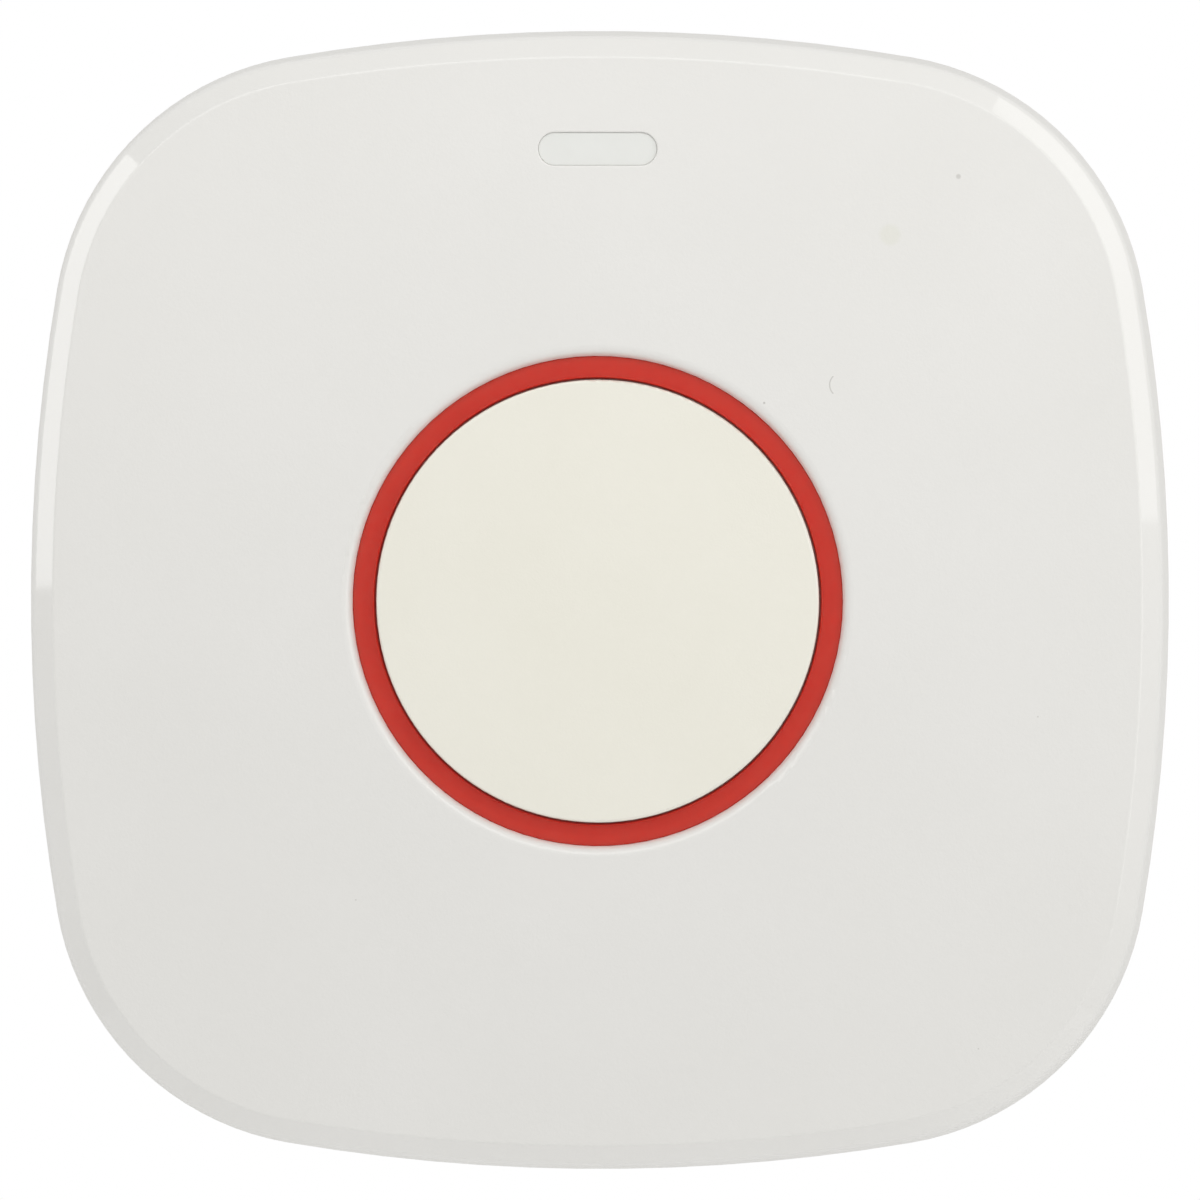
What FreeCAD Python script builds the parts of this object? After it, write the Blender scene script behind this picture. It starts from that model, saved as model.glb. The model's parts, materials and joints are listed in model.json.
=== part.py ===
import FreeCAD, Part
import math
import os
import Sketcher

# Wireless panic button for wall mounting.
# Every piece is drawn in the same flat frame: x to the right, y up the wall and z away from the
# wall, in millimetres. A quarter turn about x then stands the whole set upright, so that the back
# lies on y = 0, the button looks towards -y and z is up.

os.makedirs("parts", exist_ok=True)
doc = FreeCAD.newDocument("panic_button")
vector = FreeCAD.Vector
UPRIGHT = FreeCAD.Placement(vector(0, 0, 0), FreeCAD.Rotation(vector(1, 0, 0), 90))

# Driving dimensions
DIMENSIONS = {
    # outline of the housing: four shallow side arcs and four corner arcs, tangent to each other
    "body_half": 40.0,
    "side_radius": 131.0,
    "corner_radius": 19.8,
    "body_depth": 22.0,
    "base_height": 6.5,
    "seam_gap": 0.3,
    "base_step": 0.15,
    "wall": 2.0,
    "front_wall": 2.0,
    "floor_thickness": 2.0,
    "draft_angle": 2.0,
    "bevel": 1.4,
    "bevel_crease": 0.25,
    "bevel_shoulder": 0.8,
    "base_edge": 1.0,
    # tongue of the base and rebate of the cover
    "rebate_inset": 1.0,
    "rebate_depth": 2.4,
    "tongue_inset": 1.1,
    "tongue_height": 2.4,
    # red ring, its seat and the button inside it
    "opening_radius": 17.14,
    "opening_round": 0.8,
    "ring_outer": 17.12,
    "ring_inner": 15.67,
    "ring_bore_draft": 2.8,
    "ring_edge": 0.05,
    "ring_recess": 0.8,
    "ring_flange": 20.2,
    "ring_flange_thickness": 1.2,
    "collar_inner": 20.3,
    "collar_wall": 1.4,
    "collar_drop": 3.0,
    "key_width": 3.0,
    "key_inner": 19.2,
    "stake_circle": 18.8,
    "stake_radius": 0.7,
    "stake_head": 1.1,
    "stake_sink": 0.6,
    "button_radius": 15.47,
    "button_proud": 0.0,
    "button_wall": 1.6,
    "button_round": 0.18,
    "button_flange": 20.2,
    "button_flange_thickness": 1.45,
    "button_play": 0.05,
    "button_travel": 0.8,
    "button_hub": 7.3,
    "button_post": 2.5,
    # status window and the light pipe in it
    "window_setback": 8.4,
    "window_length": 8.3,
    "window_width": 2.3,
    "window_round": 0.14,
    "window_gap": 0.01,
    "lens_recess": 0.2,
    "lens_edge": 0.02,
    "pipe_flange_length": 17.0,
    "pipe_flange_width": 4.2,
    "pipe_pin_x": 6.6,
    "pipe_pin_radius": 0.6,
    "pipe_stem_length": 6.4,
    "pipe_stem_width": 2.4,
    "pipe_lamp_gap": 0.3,
    "pipe_draft": 2.0,
    "lamp_length": 3.5,
    "lamp_width": 2.8,
    "lamp_height": 1.2,
    "lamp_cup": 1.1,
    # circuit board and its bosses
    "board_setback": 12.6,
    "board_thickness": 1.6,
    "board_inset": 5.5,
    "board_grid": 0.5,
    "boss_setback": 13.5,
    "boss_low_setback": 12.0,
    "boss_low_y": 13.0,
    "boss_radius": 2.7,
    "boss_draft": 0.5,
    "pilot_radius": 1.03,
    "screw_radius": 1.0,
    "screw_head": 2.0,
    "screw_head_height": 1.5,
    "screw_length": 7.0,
    "recess_half": 1.1,
    "recess_slot": 0.22,
    "recess_depth": 0.8,
    # button switch
    "switch_half": 3.0,
    "switch_height": 3.5,
    "switch_stem": 1.75,
    "switch_tip": 5.0,
    "switch_gap": 0.47,
    "switch_leg_y": 2.25,
    "switch_leg_width": 0.7,
    "switch_leg_reach": 1.3,
    "switch_leg_height": 1.6,
    "spring_mean": 6.4,
    "spring_wire": 0.6,
    "spring_turns": 3.5,
    # lithium cell and its bay
    "cell_radius": 8.5,
    "cell_length": 34.5,
    "cell_setback": 12.1,
    "cell_clearance": 0.3,
    "cell_cap_radius": 3.3,
    "cell_cap_height": 1.2,
    "cell_shoulder": 1.8,
    "cell_crimp": 0.9,
    "cell_crimp_depth": 0.45,
    "saddle_gap": 0.2,
    "saddle_height": 4.0,
    "saddle_x": 10.0,
    "rib": 1.5,
    "bay_half": 21.5,
    "bay_gap": 0.6,
    "contact_thickness": 0.4,
    "contact_half_width": 3.0,
    "contact_gap": 0.02,
    "contact_setback": 0.8,
    "contact_rise": 4.2,
    "contact_drop": 3.8,
    "contact_foot": 3.0,
    "leaf_nose": 0.75,
    "leaf_bow": 2.75,
    "leaf_tail": 4.5,
    # controller, radio can, crystal, antenna and buffer capacitor
    "chip_x": 12.5,
    "chip_y": 10.5,
    "chip_half": 3.5,
    "chip_height": 1.35,
    "chip_standoff": 0.15,
    "lead_reach": 1.0,
    "lead_width": 0.34,
    "lead_pitch": 0.8,
    "radio_margin": 3.5,
    "radio_y": 8.0,
    "radio_length": 13.0,
    "radio_width": 12.0,
    "radio_height": 2.6,
    "radio_sheet": 0.3,
    "radio_corner": 0.8,
    "vent_radius": 0.5,
    "vent_pitch": 3.0,
    "crystal_y": 13.2,
    "crystal_length": 11.0,
    "crystal_width": 4.6,
    "crystal_step": 0.45,
    "crystal_foot": 0.5,
    "crystal_height": 2.6,
    "antenna_margin": 2.9,
    "antenna_spread": 6.3,
    "antenna_wire": 0.35,
    "antenna_level": 2.4,
    "antenna_bend_y": 17.0,
    "antenna_outer_end": 5.0,
    "antenna_inner_end": 3.0,
    "buffer_gap": 0.8,
    "buffer_y": 12.6,
    "buffer_half": 3.2,
    "buffer_base": 0.8,
    "buffer_can": 3.0,
    "buffer_height": 4.4,
    "part_length": 2.0,
    "part_width": 1.2,
    "part_height": 0.7,
    # tamper plunger through the back
    "tamper_x": 16.0,
    "tamper_y": 12.0,
    "tamper_hole": 2.15,
    "tamper_pin": 2.05,
    "tamper_guide": 3.45,
    "tamper_flange": 3.35,
    "tamper_flange_z": 3.6,
    "tamper_flange_thickness": 0.6,
    "tamper_post": 1.1,
    "tamper_switch_half": 2.6,
    "tamper_switch_height": 2.0,
    "tamper_reach": 0.4,
    "tamper_tube_gap": 1.4,
    "tamper_spring_mean": 2.1,
    "tamper_spring_wire": 0.3,
    "tamper_spring_turns": 3.0,
    # wall screws
    "wall_hole_setback": 10.0,
    "wall_hole_radius": 2.2,
    "wall_hole_sink": 1.9,
    "wall_boss_radius": 5.2,
    "wall_boss_height": 1.4,
    # snap hooks
    "hook_setback": 5.3,
    "hook_thickness": 1.1,
    "hook_reach": 0.6,
    "hook_width": 6.0,
    "top_hook_x": 16.0,
    "side_hook_y": 9.0,
    "ledge_setback": 4.05,
    "ledge_back": 9.5,
    "ledge_thickness": 1.2,
    "ledge_margin": 0.5,
}


class Size:
    """A number together with the sheet formula that gives it."""

    def __init__(self, text, value):
        self.text = text
        self.value = value

    def __add__(self, other):
        return Size("(%s + %s)" % (self.text, text_of(other)), self.value + value_of(other))

    def __radd__(self, other):
        return Size("(%s + %s)" % (text_of(other), self.text), value_of(other) + self.value)

    def __sub__(self, other):
        return Size("(%s - %s)" % (self.text, text_of(other)), self.value - value_of(other))

    def __rsub__(self, other):
        return Size("(%s - %s)" % (text_of(other), self.text), value_of(other) - self.value)

    def __mul__(self, other):
        return Size("(%s * %s)" % (self.text, text_of(other)), self.value * value_of(other))

    def __rmul__(self, other):
        return self.__mul__(other)

    def __truediv__(self, other):
        return Size("(%s / %s)" % (self.text, text_of(other)), self.value / value_of(other))

    def __neg__(self):
        return Size("(0 - %s)" % self.text, -self.value)


def text_of(number):
    if isinstance(number, Size):
        return number.text
    return "%.6g" % number


def value_of(number):
    if isinstance(number, Size):
        return number.value
    return float(number)


# Spreadsheet of the driving dimensions
sheet = doc.addObject("Spreadsheet::Sheet", "Sizes")
sheet.set("A1", "dimension")
sheet.set("B1", "millimetres or degrees")
for row, (alias, number) in enumerate(DIMENSIONS.items(), start=2):
    sheet.set("A%d" % row, alias)
    sheet.set("B%d" % row, str(number))
    sheet.setAlias("B%d" % row, alias)
doc.recompute()


class Sheet:
    """Gives each dimension of the sheet as a Size."""

    def __getattr__(self, alias):
        return Size("Sizes." + alias, float(DIMENSIONS[alias]))


size = Sheet()

# Levels that several pieces share, measured from the wall
seam = size.base_height + size.seam_gap
inside_front = size.body_depth - size.front_wall
ring_face = size.body_depth - size.ring_recess
ring_back = inside_front - size.ring_flange_thickness
board_back = size.body_depth - size.board_setback
board_front = board_back + size.board_thickness
button_face = size.body_depth + size.button_proud
flange_face = ring_back - size.button_play
flange_back = flange_face - size.button_flange_thickness
switch_top = board_front + size.switch_height
switch_tip = board_front + size.switch_tip
plunger_end = switch_tip + size.switch_gap
button_inside = button_face - size.button_wall
spring_seat = button_inside - 2.0
cell_end = size.cell_length / 2
cell_y = size.body_half - size.cell_setback
cell_z = size.floor_thickness + size.cell_radius + size.cell_clearance
saddle_radius = size.cell_radius + size.saddle_gap
bay_edge = cell_y - size.cell_radius - size.bay_gap
window_height = size.body_half - size.window_setback
wall_hole_x = size.body_half - size.wall_hole_setback
boss_x = size.body_half - size.boss_setback
boss_low_x = size.body_half - size.boss_low_setback
board_edge = size.body_half - size.board_inset
tamper_face = board_back - size.tamper_switch_height
tamper_tip = tamper_face - size.tamper_reach
hook_inner = size.body_half - size.hook_setback
ledge_inner = size.body_half - size.ledge_setback
wall_middle = size.body_half - size.wall / 2

# Every finished piece with its node name
pieces = []


def new_piece(label):
    """A body that carries one node, already stood upright."""
    body = doc.addObject("PartDesign::Body", label)
    body.Label = label
    body.Placement = UPRIGHT
    pieces.append(body)
    return body


def bind(thing, path, number):
    """Ties a property to the sheet when the number comes from it."""
    if isinstance(number, Size):
        thing.setExpression(path, number.text)


def new_sketch(body, name, height=0.0, plane="XY_Plane"):
    """A sketch parallel to an origin plane of its body, moved along the plane's normal."""
    sketch = body.newObject("Sketcher::SketchObject", name)
    origin_plane = [item for item in body.Origin.OriginFeatures if item.Role == plane][0]
    sketch.AttachmentSupport = (origin_plane, "")
    sketch.MapMode = "FlatFace"
    sketch.AttachmentOffset = FreeCAD.Placement(
        vector(0, 0, value_of(height)), FreeCAD.Rotation()
    )
    bind(sketch, "AttachmentOffset.Base.z", height)
    return sketch


def fix(sketch, kind, *references):
    """Adds a dimension whose last entry is a number or a Size."""
    number = references[-1]
    entries = list(references[:-1]) + [value_of(number)]
    index = sketch.addConstraint(Sketcher.Constraint(kind, *entries))
    bind(sketch, "Constraints[%d]" % index, number)


def fix_point(sketch, geometry, point, x, y):
    """Places one point of a curve from the sketch origin."""
    if value_of(x) == 0 and not isinstance(x, Size):
        sketch.addConstraint(Sketcher.Constraint("PointOnObject", geometry, point, -2))
    else:
        fix(sketch, "DistanceX", -1, 1, geometry, point, x)
    if value_of(y) == 0 and not isinstance(y, Size):
        sketch.addConstraint(Sketcher.Constraint("PointOnObject", geometry, point, -1))
    else:
        fix(sketch, "DistanceY", -1, 1, geometry, point, y)


def circle(sketch, x, y, radius):
    centre = vector(value_of(x), value_of(y), 0)
    index = sketch.addGeometry(Part.Circle(centre, vector(0, 0, 1), value_of(radius)), False)
    fix(sketch, "Radius", index, radius)
    fix_point(sketch, index, 3, x, y)


def polygon(sketch, points):
    """A closed outline through bound corner points."""
    corners = [vector(value_of(x), value_of(y), 0) for x, y in points]
    count = len(corners)
    lines = []
    for number in range(count):
        line = Part.LineSegment(corners[number], corners[(number + 1) % count])
        lines.append(sketch.addGeometry(line, False))
    for number in range(count):
        following = lines[(number + 1) % count]
        sketch.addConstraint(Sketcher.Constraint("Coincident", lines[number], 2, following, 1))
    for number, (x, y) in enumerate(points):
        fix_point(sketch, lines[number], 1, x, y)


def rectangle(sketch, left, right, low, high):
    polygon(sketch, [(left, low), (right, low), (right, high), (left, high)])


def pill(sketch, x, y, length, width):
    """A long hole shape with half-round ends, lying along x."""
    radius = width / 2
    reach = length / 2 - radius
    right = Part.Circle(vector(value_of(x + reach), value_of(y), 0), vector(0, 0, 1), value_of(radius))
    left = Part.Circle(vector(value_of(x - reach), value_of(y), 0), vector(0, 0, 1), value_of(radius))
    arc_right = sketch.addGeometry(Part.ArcOfCircle(right, -math.pi / 2, math.pi / 2), False)
    arc_left = sketch.addGeometry(Part.ArcOfCircle(left, math.pi / 2, 3 * math.pi / 2), False)
    top = Part.LineSegment(
        vector(value_of(x + reach), value_of(y + radius), 0),
        vector(value_of(x - reach), value_of(y + radius), 0),
    )
    low = Part.LineSegment(
        vector(value_of(x - reach), value_of(y - radius), 0),
        vector(value_of(x + reach), value_of(y - radius), 0),
    )
    line_top = sketch.addGeometry(top, False)
    line_low = sketch.addGeometry(low, False)
    sketch.addConstraint(Sketcher.Constraint("Tangent", arc_right, 2, line_top, 1))
    sketch.addConstraint(Sketcher.Constraint("Tangent", line_top, 2, arc_left, 1))
    sketch.addConstraint(Sketcher.Constraint("Tangent", arc_left, 2, line_low, 1))
    sketch.addConstraint(Sketcher.Constraint("Tangent", line_low, 2, arc_right, 1))
    fix(sketch, "Radius", arc_right, radius)
    fix_point(sketch, arc_right, 3, x + reach, y)
    fix_point(sketch, arc_left, 3, x - reach, y)


def housing_outline(sketch, inset):
    """The outline of the housing, moved inwards by an even distance."""
    side = value_of(size.side_radius)
    corner = value_of(size.corner_radius)
    shift = side - value_of(size.body_half)
    half = (-shift + math.sqrt(shift * shift - 2 * (shift * shift - (side - corner) ** 2))) / 2
    split = math.atan2(half, half + shift)
    arcs = []
    for quarter in range(4):
        turn = quarter * math.pi / 2
        across = vector(math.cos(turn), math.sin(turn), 0)
        along = vector(-math.sin(turn), math.cos(turn), 0)
        side_circle = Part.Circle(across * -shift, vector(0, 0, 1), side - value_of(inset))
        corner_centre = across * half + along * half
        corner_circle = Part.Circle(corner_centre, vector(0, 0, 1), corner - value_of(inset))
        side_arc = Part.ArcOfCircle(side_circle, turn - split, turn + split)
        corner_arc = Part.ArcOfCircle(corner_circle, turn + split, turn + math.pi / 2 - split)
        arcs.append(sketch.addGeometry(side_arc, False))
        arcs.append(sketch.addGeometry(corner_arc, False))
    for number in range(8):
        following = arcs[(number + 1) % 8]
        sketch.addConstraint(Sketcher.Constraint("Tangent", arcs[number], 2, following, 1))
    for number in (2, 4, 6):
        sketch.addConstraint(Sketcher.Constraint("Equal", arcs[0], arcs[number]))
    for number in (3, 5, 7):
        sketch.addConstraint(Sketcher.Constraint("Equal", arcs[1], arcs[number]))
    fix(sketch, "Radius", arcs[0], size.side_radius - inset)
    fix(sketch, "Radius", arcs[1], size.corner_radius - inset)
    distance = size.side_radius - size.body_half
    fix(sketch, "DistanceX", arcs[0], 3, -1, 1, distance)
    fix(sketch, "DistanceX", -1, 1, arcs[4], 3, distance)
    fix(sketch, "DistanceY", arcs[2], 3, -1, 1, distance)
    fix(sketch, "DistanceY", -1, 1, arcs[6], 3, distance)
    for number in (0, 4):
        sketch.addConstraint(Sketcher.Constraint("PointOnObject", arcs[number], 3, -1))
    for number in (2, 6):
        sketch.addConstraint(Sketcher.Constraint("PointOnObject", arcs[number], 3, -2))


def volume_before(body):
    if body.Tip is None or body.Tip.Shape.isNull():
        return 0.0
    return body.Tip.Shape.Volume


def extrude(body, name, kind, start, depth, drawings, plane, back, draft):
    """Draws one sketch and pads or pockets it, then checks that the body changed."""
    earlier = volume_before(body)
    sketch = new_sketch(body, name + "_sketch", start, plane)
    for draw, *numbers in drawings:
        draw(sketch, *numbers)
    feature = body.newObject(kind, name)
    feature.Profile = sketch
    feature.Length = value_of(depth)
    bind(feature, "Length", depth)
    feature.Reversed = back
    if draft is not None:
        feature.TaperAngle = value_of(draft)
        bind(feature, "TaperAngle", draft)
    doc.recompute()
    if abs(feature.Shape.Volume - earlier) < 1e-4:
        raise RuntimeError(name + " of " + body.Label + " changes nothing")
    return feature


def pad(body, name, start, depth, *drawings, plane="XY_Plane", back=False, draft=None):
    return extrude(body, name, "PartDesign::Pad", start, depth, drawings, plane, back, draft)


def cut(body, name, start, depth, *drawings, plane="XY_Plane", ahead=True, draft=None):
    """Pocket that runs along the plane's normal, or against it when ahead is off."""
    return extrude(body, name, "PartDesign::Pocket", start, depth, drawings, plane, ahead, draft)


def edges_of(body, low, high, inner=0.0, outer=1e6, centre=(0.0, 0.0)):
    """Names of the edges between two heights and two distances from an upright axis."""
    names = []
    for number, edge in enumerate(body.Tip.Shape.Edges, start=1):
        box = edge.BoundBox
        if box.ZMin < value_of(low) or box.ZMax > value_of(high):
            continue
        marks = [edge.valueAt(edge.FirstParameter), edge.valueAt(edge.LastParameter)]
        middle = (edge.FirstParameter + edge.LastParameter) / 2
        marks.append(edge.valueAt(middle))
        reach = [math.hypot(mark.x - centre[0], mark.y - centre[1]) for mark in marks]
        if min(reach) >= value_of(inner) and max(reach) <= value_of(outer):
            names.append("Edge%d" % number)
    if not names:
        raise RuntimeError("no edge found on " + body.Label)
    return names


def dress(body, kind, name, names, path, amount):
    """Rounds or bevels the named edges of the body's latest shape."""
    base = body.Tip
    earlier = base.Shape.Volume
    feature = body.newObject(kind, name)
    feature.Base = (base, names)
    setattr(feature, path, value_of(amount))
    bind(feature, path, amount)
    doc.recompute()
    if abs(feature.Shape.Volume - earlier) < 1e-6:
        raise RuntimeError(name + " of " + body.Label + " changes nothing")
    return feature


def round_edges(body, name, names, radius):
    return dress(body, "PartDesign::Fillet", name, names, "Radius", radius)


def bevel_edges(body, name, names, width):
    return dress(body, "PartDesign::Chamfer", name, names, "Size", width)


def origin_axis(body, role):
    return [item for item in body.Origin.OriginFeatures if item.Role == role][0]


def repeat_in_line(body, name, feature, role, length, count):
    """A row of equal features along one axis of the body."""
    pattern = body.newObject("PartDesign::LinearPattern", name)
    pattern.Originals = [feature]
    pattern.Direction = (origin_axis(body, role), [""])
    pattern.Length = value_of(length)
    bind(pattern, "Length", length)
    pattern.Occurrences = count
    body.Tip = pattern
    doc.recompute()
    return pattern


def repeat_round(body, name, features, count):
    """Equal features spread round the upright axis."""
    pattern = body.newObject("PartDesign::PolarPattern", name)
    pattern.Originals = features
    pattern.Axis = (origin_axis(body, "Z_Axis"), [""])
    pattern.Angle = 360
    pattern.Occurrences = count
    body.Tip = pattern
    doc.recompute()
    return pattern


def coil(body, mean, wire, low, high, turns, centre_x, centre_y):
    """A compression spring between two levels, its end coils ground flat.

    The wire has eight flats, whose corners stand out by as much as its area asks.
    """
    section = new_sketch(body, "wire_section", 0.0, "XZ_Plane")
    bind(section, "AttachmentOffset.Base.z", -centre_y)
    corners = []
    for number in range(8):
        turn = (number + 0.5) * math.pi / 4
        out = round(0.527 * math.cos(turn), 4)
        up = round(0.527 * math.sin(turn), 4)
        corners.append((centre_x + mean + wire * out, low + wire * up))
    polygon(section, corners)
    axis_sketch = new_sketch(body, "coil_axis", 0.0, "XZ_Plane")
    bind(axis_sketch, "AttachmentOffset.Base.z", -centre_y)
    bottom = vector(value_of(centre_x), value_of(low), 0)
    top = vector(value_of(centre_x), value_of(high), 0)
    line = axis_sketch.addGeometry(Part.LineSegment(bottom, top), False)
    fix_point(axis_sketch, line, 1, centre_x, low)
    fix_point(axis_sketch, line, 2, centre_x, high)
    doc.recompute()
    helix = body.newObject("PartDesign::AdditiveHelix", "coil")
    helix.Profile = section
    helix.ReferenceAxis = (axis_sketch, ["Edge1"])
    helix.Mode = "height-turns-angle"
    helix.Height = value_of(high - low)
    bind(helix, "Height", high - low)
    helix.Turns = value_of(turns)
    bind(helix, "Turns", turns)
    helix.Angle = 0.0
    helix.Growth = 0.0
    doc.recompute()
    reach = mean + wire * 2
    box = (rectangle, centre_x - reach, centre_x + reach, centre_y - reach, centre_y + reach)
    cut(body, "ground_low", low, wire * 2, box, ahead=False)
    cut(body, "ground_high", high, wire * 2, box)


# Rear cover: tray with tongue, hooks, saddles, screw bosses and the tamper guide
rear_cover = new_piece("rear_cover")
pad(
    rear_cover, "tray", size.base_height, size.base_height,
    (housing_outline, size.base_step), back=True, draft=-size.draft_angle,
)
round_edges(rear_cover, "back_edge", edges_of(rear_cover, -0.01, 0.01), size.base_edge)
cut(
    rear_cover, "tray_inside", size.floor_thickness, size.base_height,
    (housing_outline, size.base_step + size.wall),
)
pad(
    rear_cover, "tongue", size.base_height, size.tongue_height,
    (housing_outline, size.tongue_inset), (housing_outline, size.base_step + size.wall),
)
floor_top = size.floor_thickness
rib_half = size.rib / 2
bay_top = cell_y - size.cell_radius - 2 * size.saddle_gap
for side in (-1, 1):
    name = "left" if side < 0 else "right"
    centre = side * size.saddle_x
    pad(
        rear_cover, "saddle_rib_" + name, floor_top, size.saddle_height,
        (rectangle, centre - rib_half, centre + rib_half, -wall_middle + 1.2, -bay_top),
    )
cut(
    rear_cover, "cell_saddles", -(size.saddle_x + size.rib), 2 * (size.saddle_x + size.rib),
    (circle, -cell_y, cell_z, saddle_radius), plane="YZ_Plane",
)
pad(
    rear_cover, "wall_bosses", floor_top, size.wall_boss_height,
    (circle, wall_hole_x, 0, size.wall_boss_radius),
    (circle, -wall_hole_x, 0, size.wall_boss_radius),
)
pad(
    rear_cover, "cross_rib", floor_top, size.wall_boss_height,
    (rectangle, -wall_hole_x + 3.5, wall_hole_x - 3.5, -0.6, 0.6),
)
for side in (-1, 1):
    name = "left" if side < 0 else "right"
    centre = side * size.saddle_x
    pad(
        rear_cover, "long_rib_" + name, floor_top, size.wall_boss_height,
        (rectangle, centre - 0.6, centre + 0.6, -bay_top - 0.5, wall_middle - 1.0),
    )
pad(
    rear_cover, "tamper_tube", floor_top, tamper_face - size.tamper_tube_gap - floor_top,
    (circle, -size.tamper_x, size.tamper_y, size.tamper_guide + 1.15),
    (circle, -size.tamper_x, size.tamper_y, size.tamper_guide),
)
cut(
    rear_cover, "through_holes", -1.0, 8.0,
    (circle, wall_hole_x, 0, size.wall_hole_radius),
    (circle, -wall_hole_x, 0, size.wall_hole_radius),
    (circle, -size.tamper_x, size.tamper_y, size.tamper_hole),
)
boss_top = value_of(size.floor_thickness + size.wall_boss_height)
sink_edges = []
for side in (-1, 1):
    sink_edges += edges_of(
        rear_cover, boss_top - 0.01, boss_top + 0.01, 0.0, size.wall_hole_radius + 0.01,
        (side * value_of(wall_hole_x), 0.0),
    )
bevel_edges(rear_cover, "countersinks", sink_edges, size.wall_hole_sink)

# Hook outline: an upright arm whose nose points outwards above the ledge of the front cover
hook_outer = hook_inner + size.hook_thickness
hook_tip = hook_outer + size.hook_reach
nose_low = size.ledge_back + size.ledge_thickness + 0.15
nose_high = nose_low + 1.1


def hook_points(sign):
    """Corners of a hook that leans against the wall at plus or minus this direction."""
    outline = [
        (hook_inner, floor_top - 0.5),
        (hook_outer, floor_top - 0.5),
        (hook_outer, nose_low),
        (hook_tip, nose_low),
        (hook_tip, nose_low + 0.3),
        (hook_outer - 0.3, nose_high),
        (hook_inner, nose_high),
    ]
    return [(sign * across, up) for across, up in outline]


for name, sign in (("left", -1), ("right", 1)):
    pad(
        rear_cover, "top_hook_" + name, sign * size.top_hook_x - size.hook_width / 2,
        size.hook_width,
        (polygon, hook_points(1)), plane="YZ_Plane",
    )
for name, sign in (("left", -1), ("right", 1)):
    pad(
        rear_cover, "side_hook_" + name, size.side_hook_y - size.hook_width / 2,
        size.hook_width,
        (polygon, hook_points(sign)), plane="XZ_Plane",
    )

# Front cover: drafted shell with a bevelled face, round opening, collar, bosses and ledges
front_cover = new_piece("front_cover")
pad(
    front_cover, "shell", seam, size.body_depth - seam,
    (housing_outline, 0.0), draft=-size.draft_angle,
)
face = value_of(size.body_depth)
bevel_edges(front_cover, "face_bevel", edges_of(front_cover, face - 0.01, face + 0.01), size.bevel)
shoulder = face - value_of(size.bevel)
round_edges(
    front_cover, "shoulder_round",
    edges_of(front_cover, shoulder - 0.1, shoulder + 0.1), size.bevel_shoulder,
)
round_edges(
    front_cover, "face_crease", edges_of(front_cover, face - 0.01, face + 0.01),
    size.bevel_crease,
)
cut(
    front_cover, "cavity", seam, inside_front - seam,
    (housing_outline, size.wall), draft=-size.draft_angle,
)
cut(front_cover, "rebate", seam, size.rebate_depth, (housing_outline, size.rebate_inset))
cut(front_cover, "opening", inside_front - 1.0, 5.0, (circle, 0, 0, size.opening_radius))
round_edges(
    front_cover, "opening_lead_in",
    edges_of(front_cover, face - 0.01, face + 0.01, 0.0, size.opening_radius + 0.1),
    size.opening_round,
)
collar_outer = size.collar_inner + size.collar_wall
pad(
    front_cover, "collar", inside_front - size.collar_drop, size.collar_drop,
    (circle, 0, 0, collar_outer), (circle, 0, 0, size.collar_inner),
)
key = pad(
    front_cover, "collar_key", inside_front - size.collar_drop, size.collar_drop,
    (rectangle, -size.key_width / 2, size.key_width / 2, size.key_inner, size.collar_inner + 0.5),
)
repeat_round(front_cover, "collar_keys", [key], 3)
half_root = math.sqrt(3.0) / 2
stake_x = size.stake_circle * half_root
stake_y = size.stake_circle / 2
stakes = [(stake_x, stake_y), (-stake_x, stake_y), (0, -size.stake_circle)]
pad(
    front_cover, "stake_pins", ring_back + 0.05, size.ring_flange_thickness - 0.05,
    *[(circle, x, y, size.stake_radius) for x, y in stakes],
)
pad(
    front_cover, "stake_heads", ring_back + 0.05, size.stake_sink - 0.1,
    *[(circle, x, y, size.stake_head) for x, y in stakes],
)
cut(
    front_cover, "status_window", inside_front - 1.0, 5.0,
    (pill, 0 * size.window_width, window_height, size.window_length, size.window_width),
)
round_edges(
    front_cover, "window_lead_in",
    edges_of(front_cover, face - 0.01, face + 0.01, 0.0, size.window_length / 2 + 0.05,
             (0.0, value_of(window_height))),
    size.window_round,
)
pad(
    front_cover, "pipe_pins", inside_front - 1.3, 1.3,
    (circle, size.pipe_pin_x, window_height, size.pipe_pin_radius),
    (circle, -size.pipe_pin_x, window_height, size.pipe_pin_radius),
)
board_holes = [
    (boss_x, boss_x),
    (-boss_x, boss_x),
    (boss_low_x, -size.boss_low_y),
    (-boss_low_x, -size.boss_low_y),
]
pad(
    front_cover, "board_bosses", board_front, inside_front - board_front,
    *[(circle, x, y, size.boss_radius) for x, y in board_holes], draft=size.boss_draft,
)
gusset_back = inside_front - 5.0
for name, sign in (("left", -1), ("right", 1)):
    x = sign * boss_x
    pad(
        front_cover, "gusset_up_" + name, gusset_back, 5.0,
        (rectangle, x - 0.6, x + 0.6, boss_x + 1.0, size.body_half - 4.4),
    )
    pad(
        front_cover, "gusset_out_" + name, gusset_back, 5.0,
        (rectangle, sign * (boss_x + 1.0), sign * (size.body_half - 4.4),
         boss_x - 0.6, boss_x + 0.6),
    )
    pad(
        front_cover, "gusset_low_" + name, gusset_back, 5.0,
        (rectangle, sign * (boss_low_x + 1.0), sign * (size.body_half - 2.2),
         -size.boss_low_y - 0.6, -size.boss_low_y + 0.6),
    )
cut(
    front_cover, "pilot_holes", board_front, size.screw_length + 0.6,
    *[(circle, x, y, size.pilot_radius) for x, y in board_holes],
)
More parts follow.
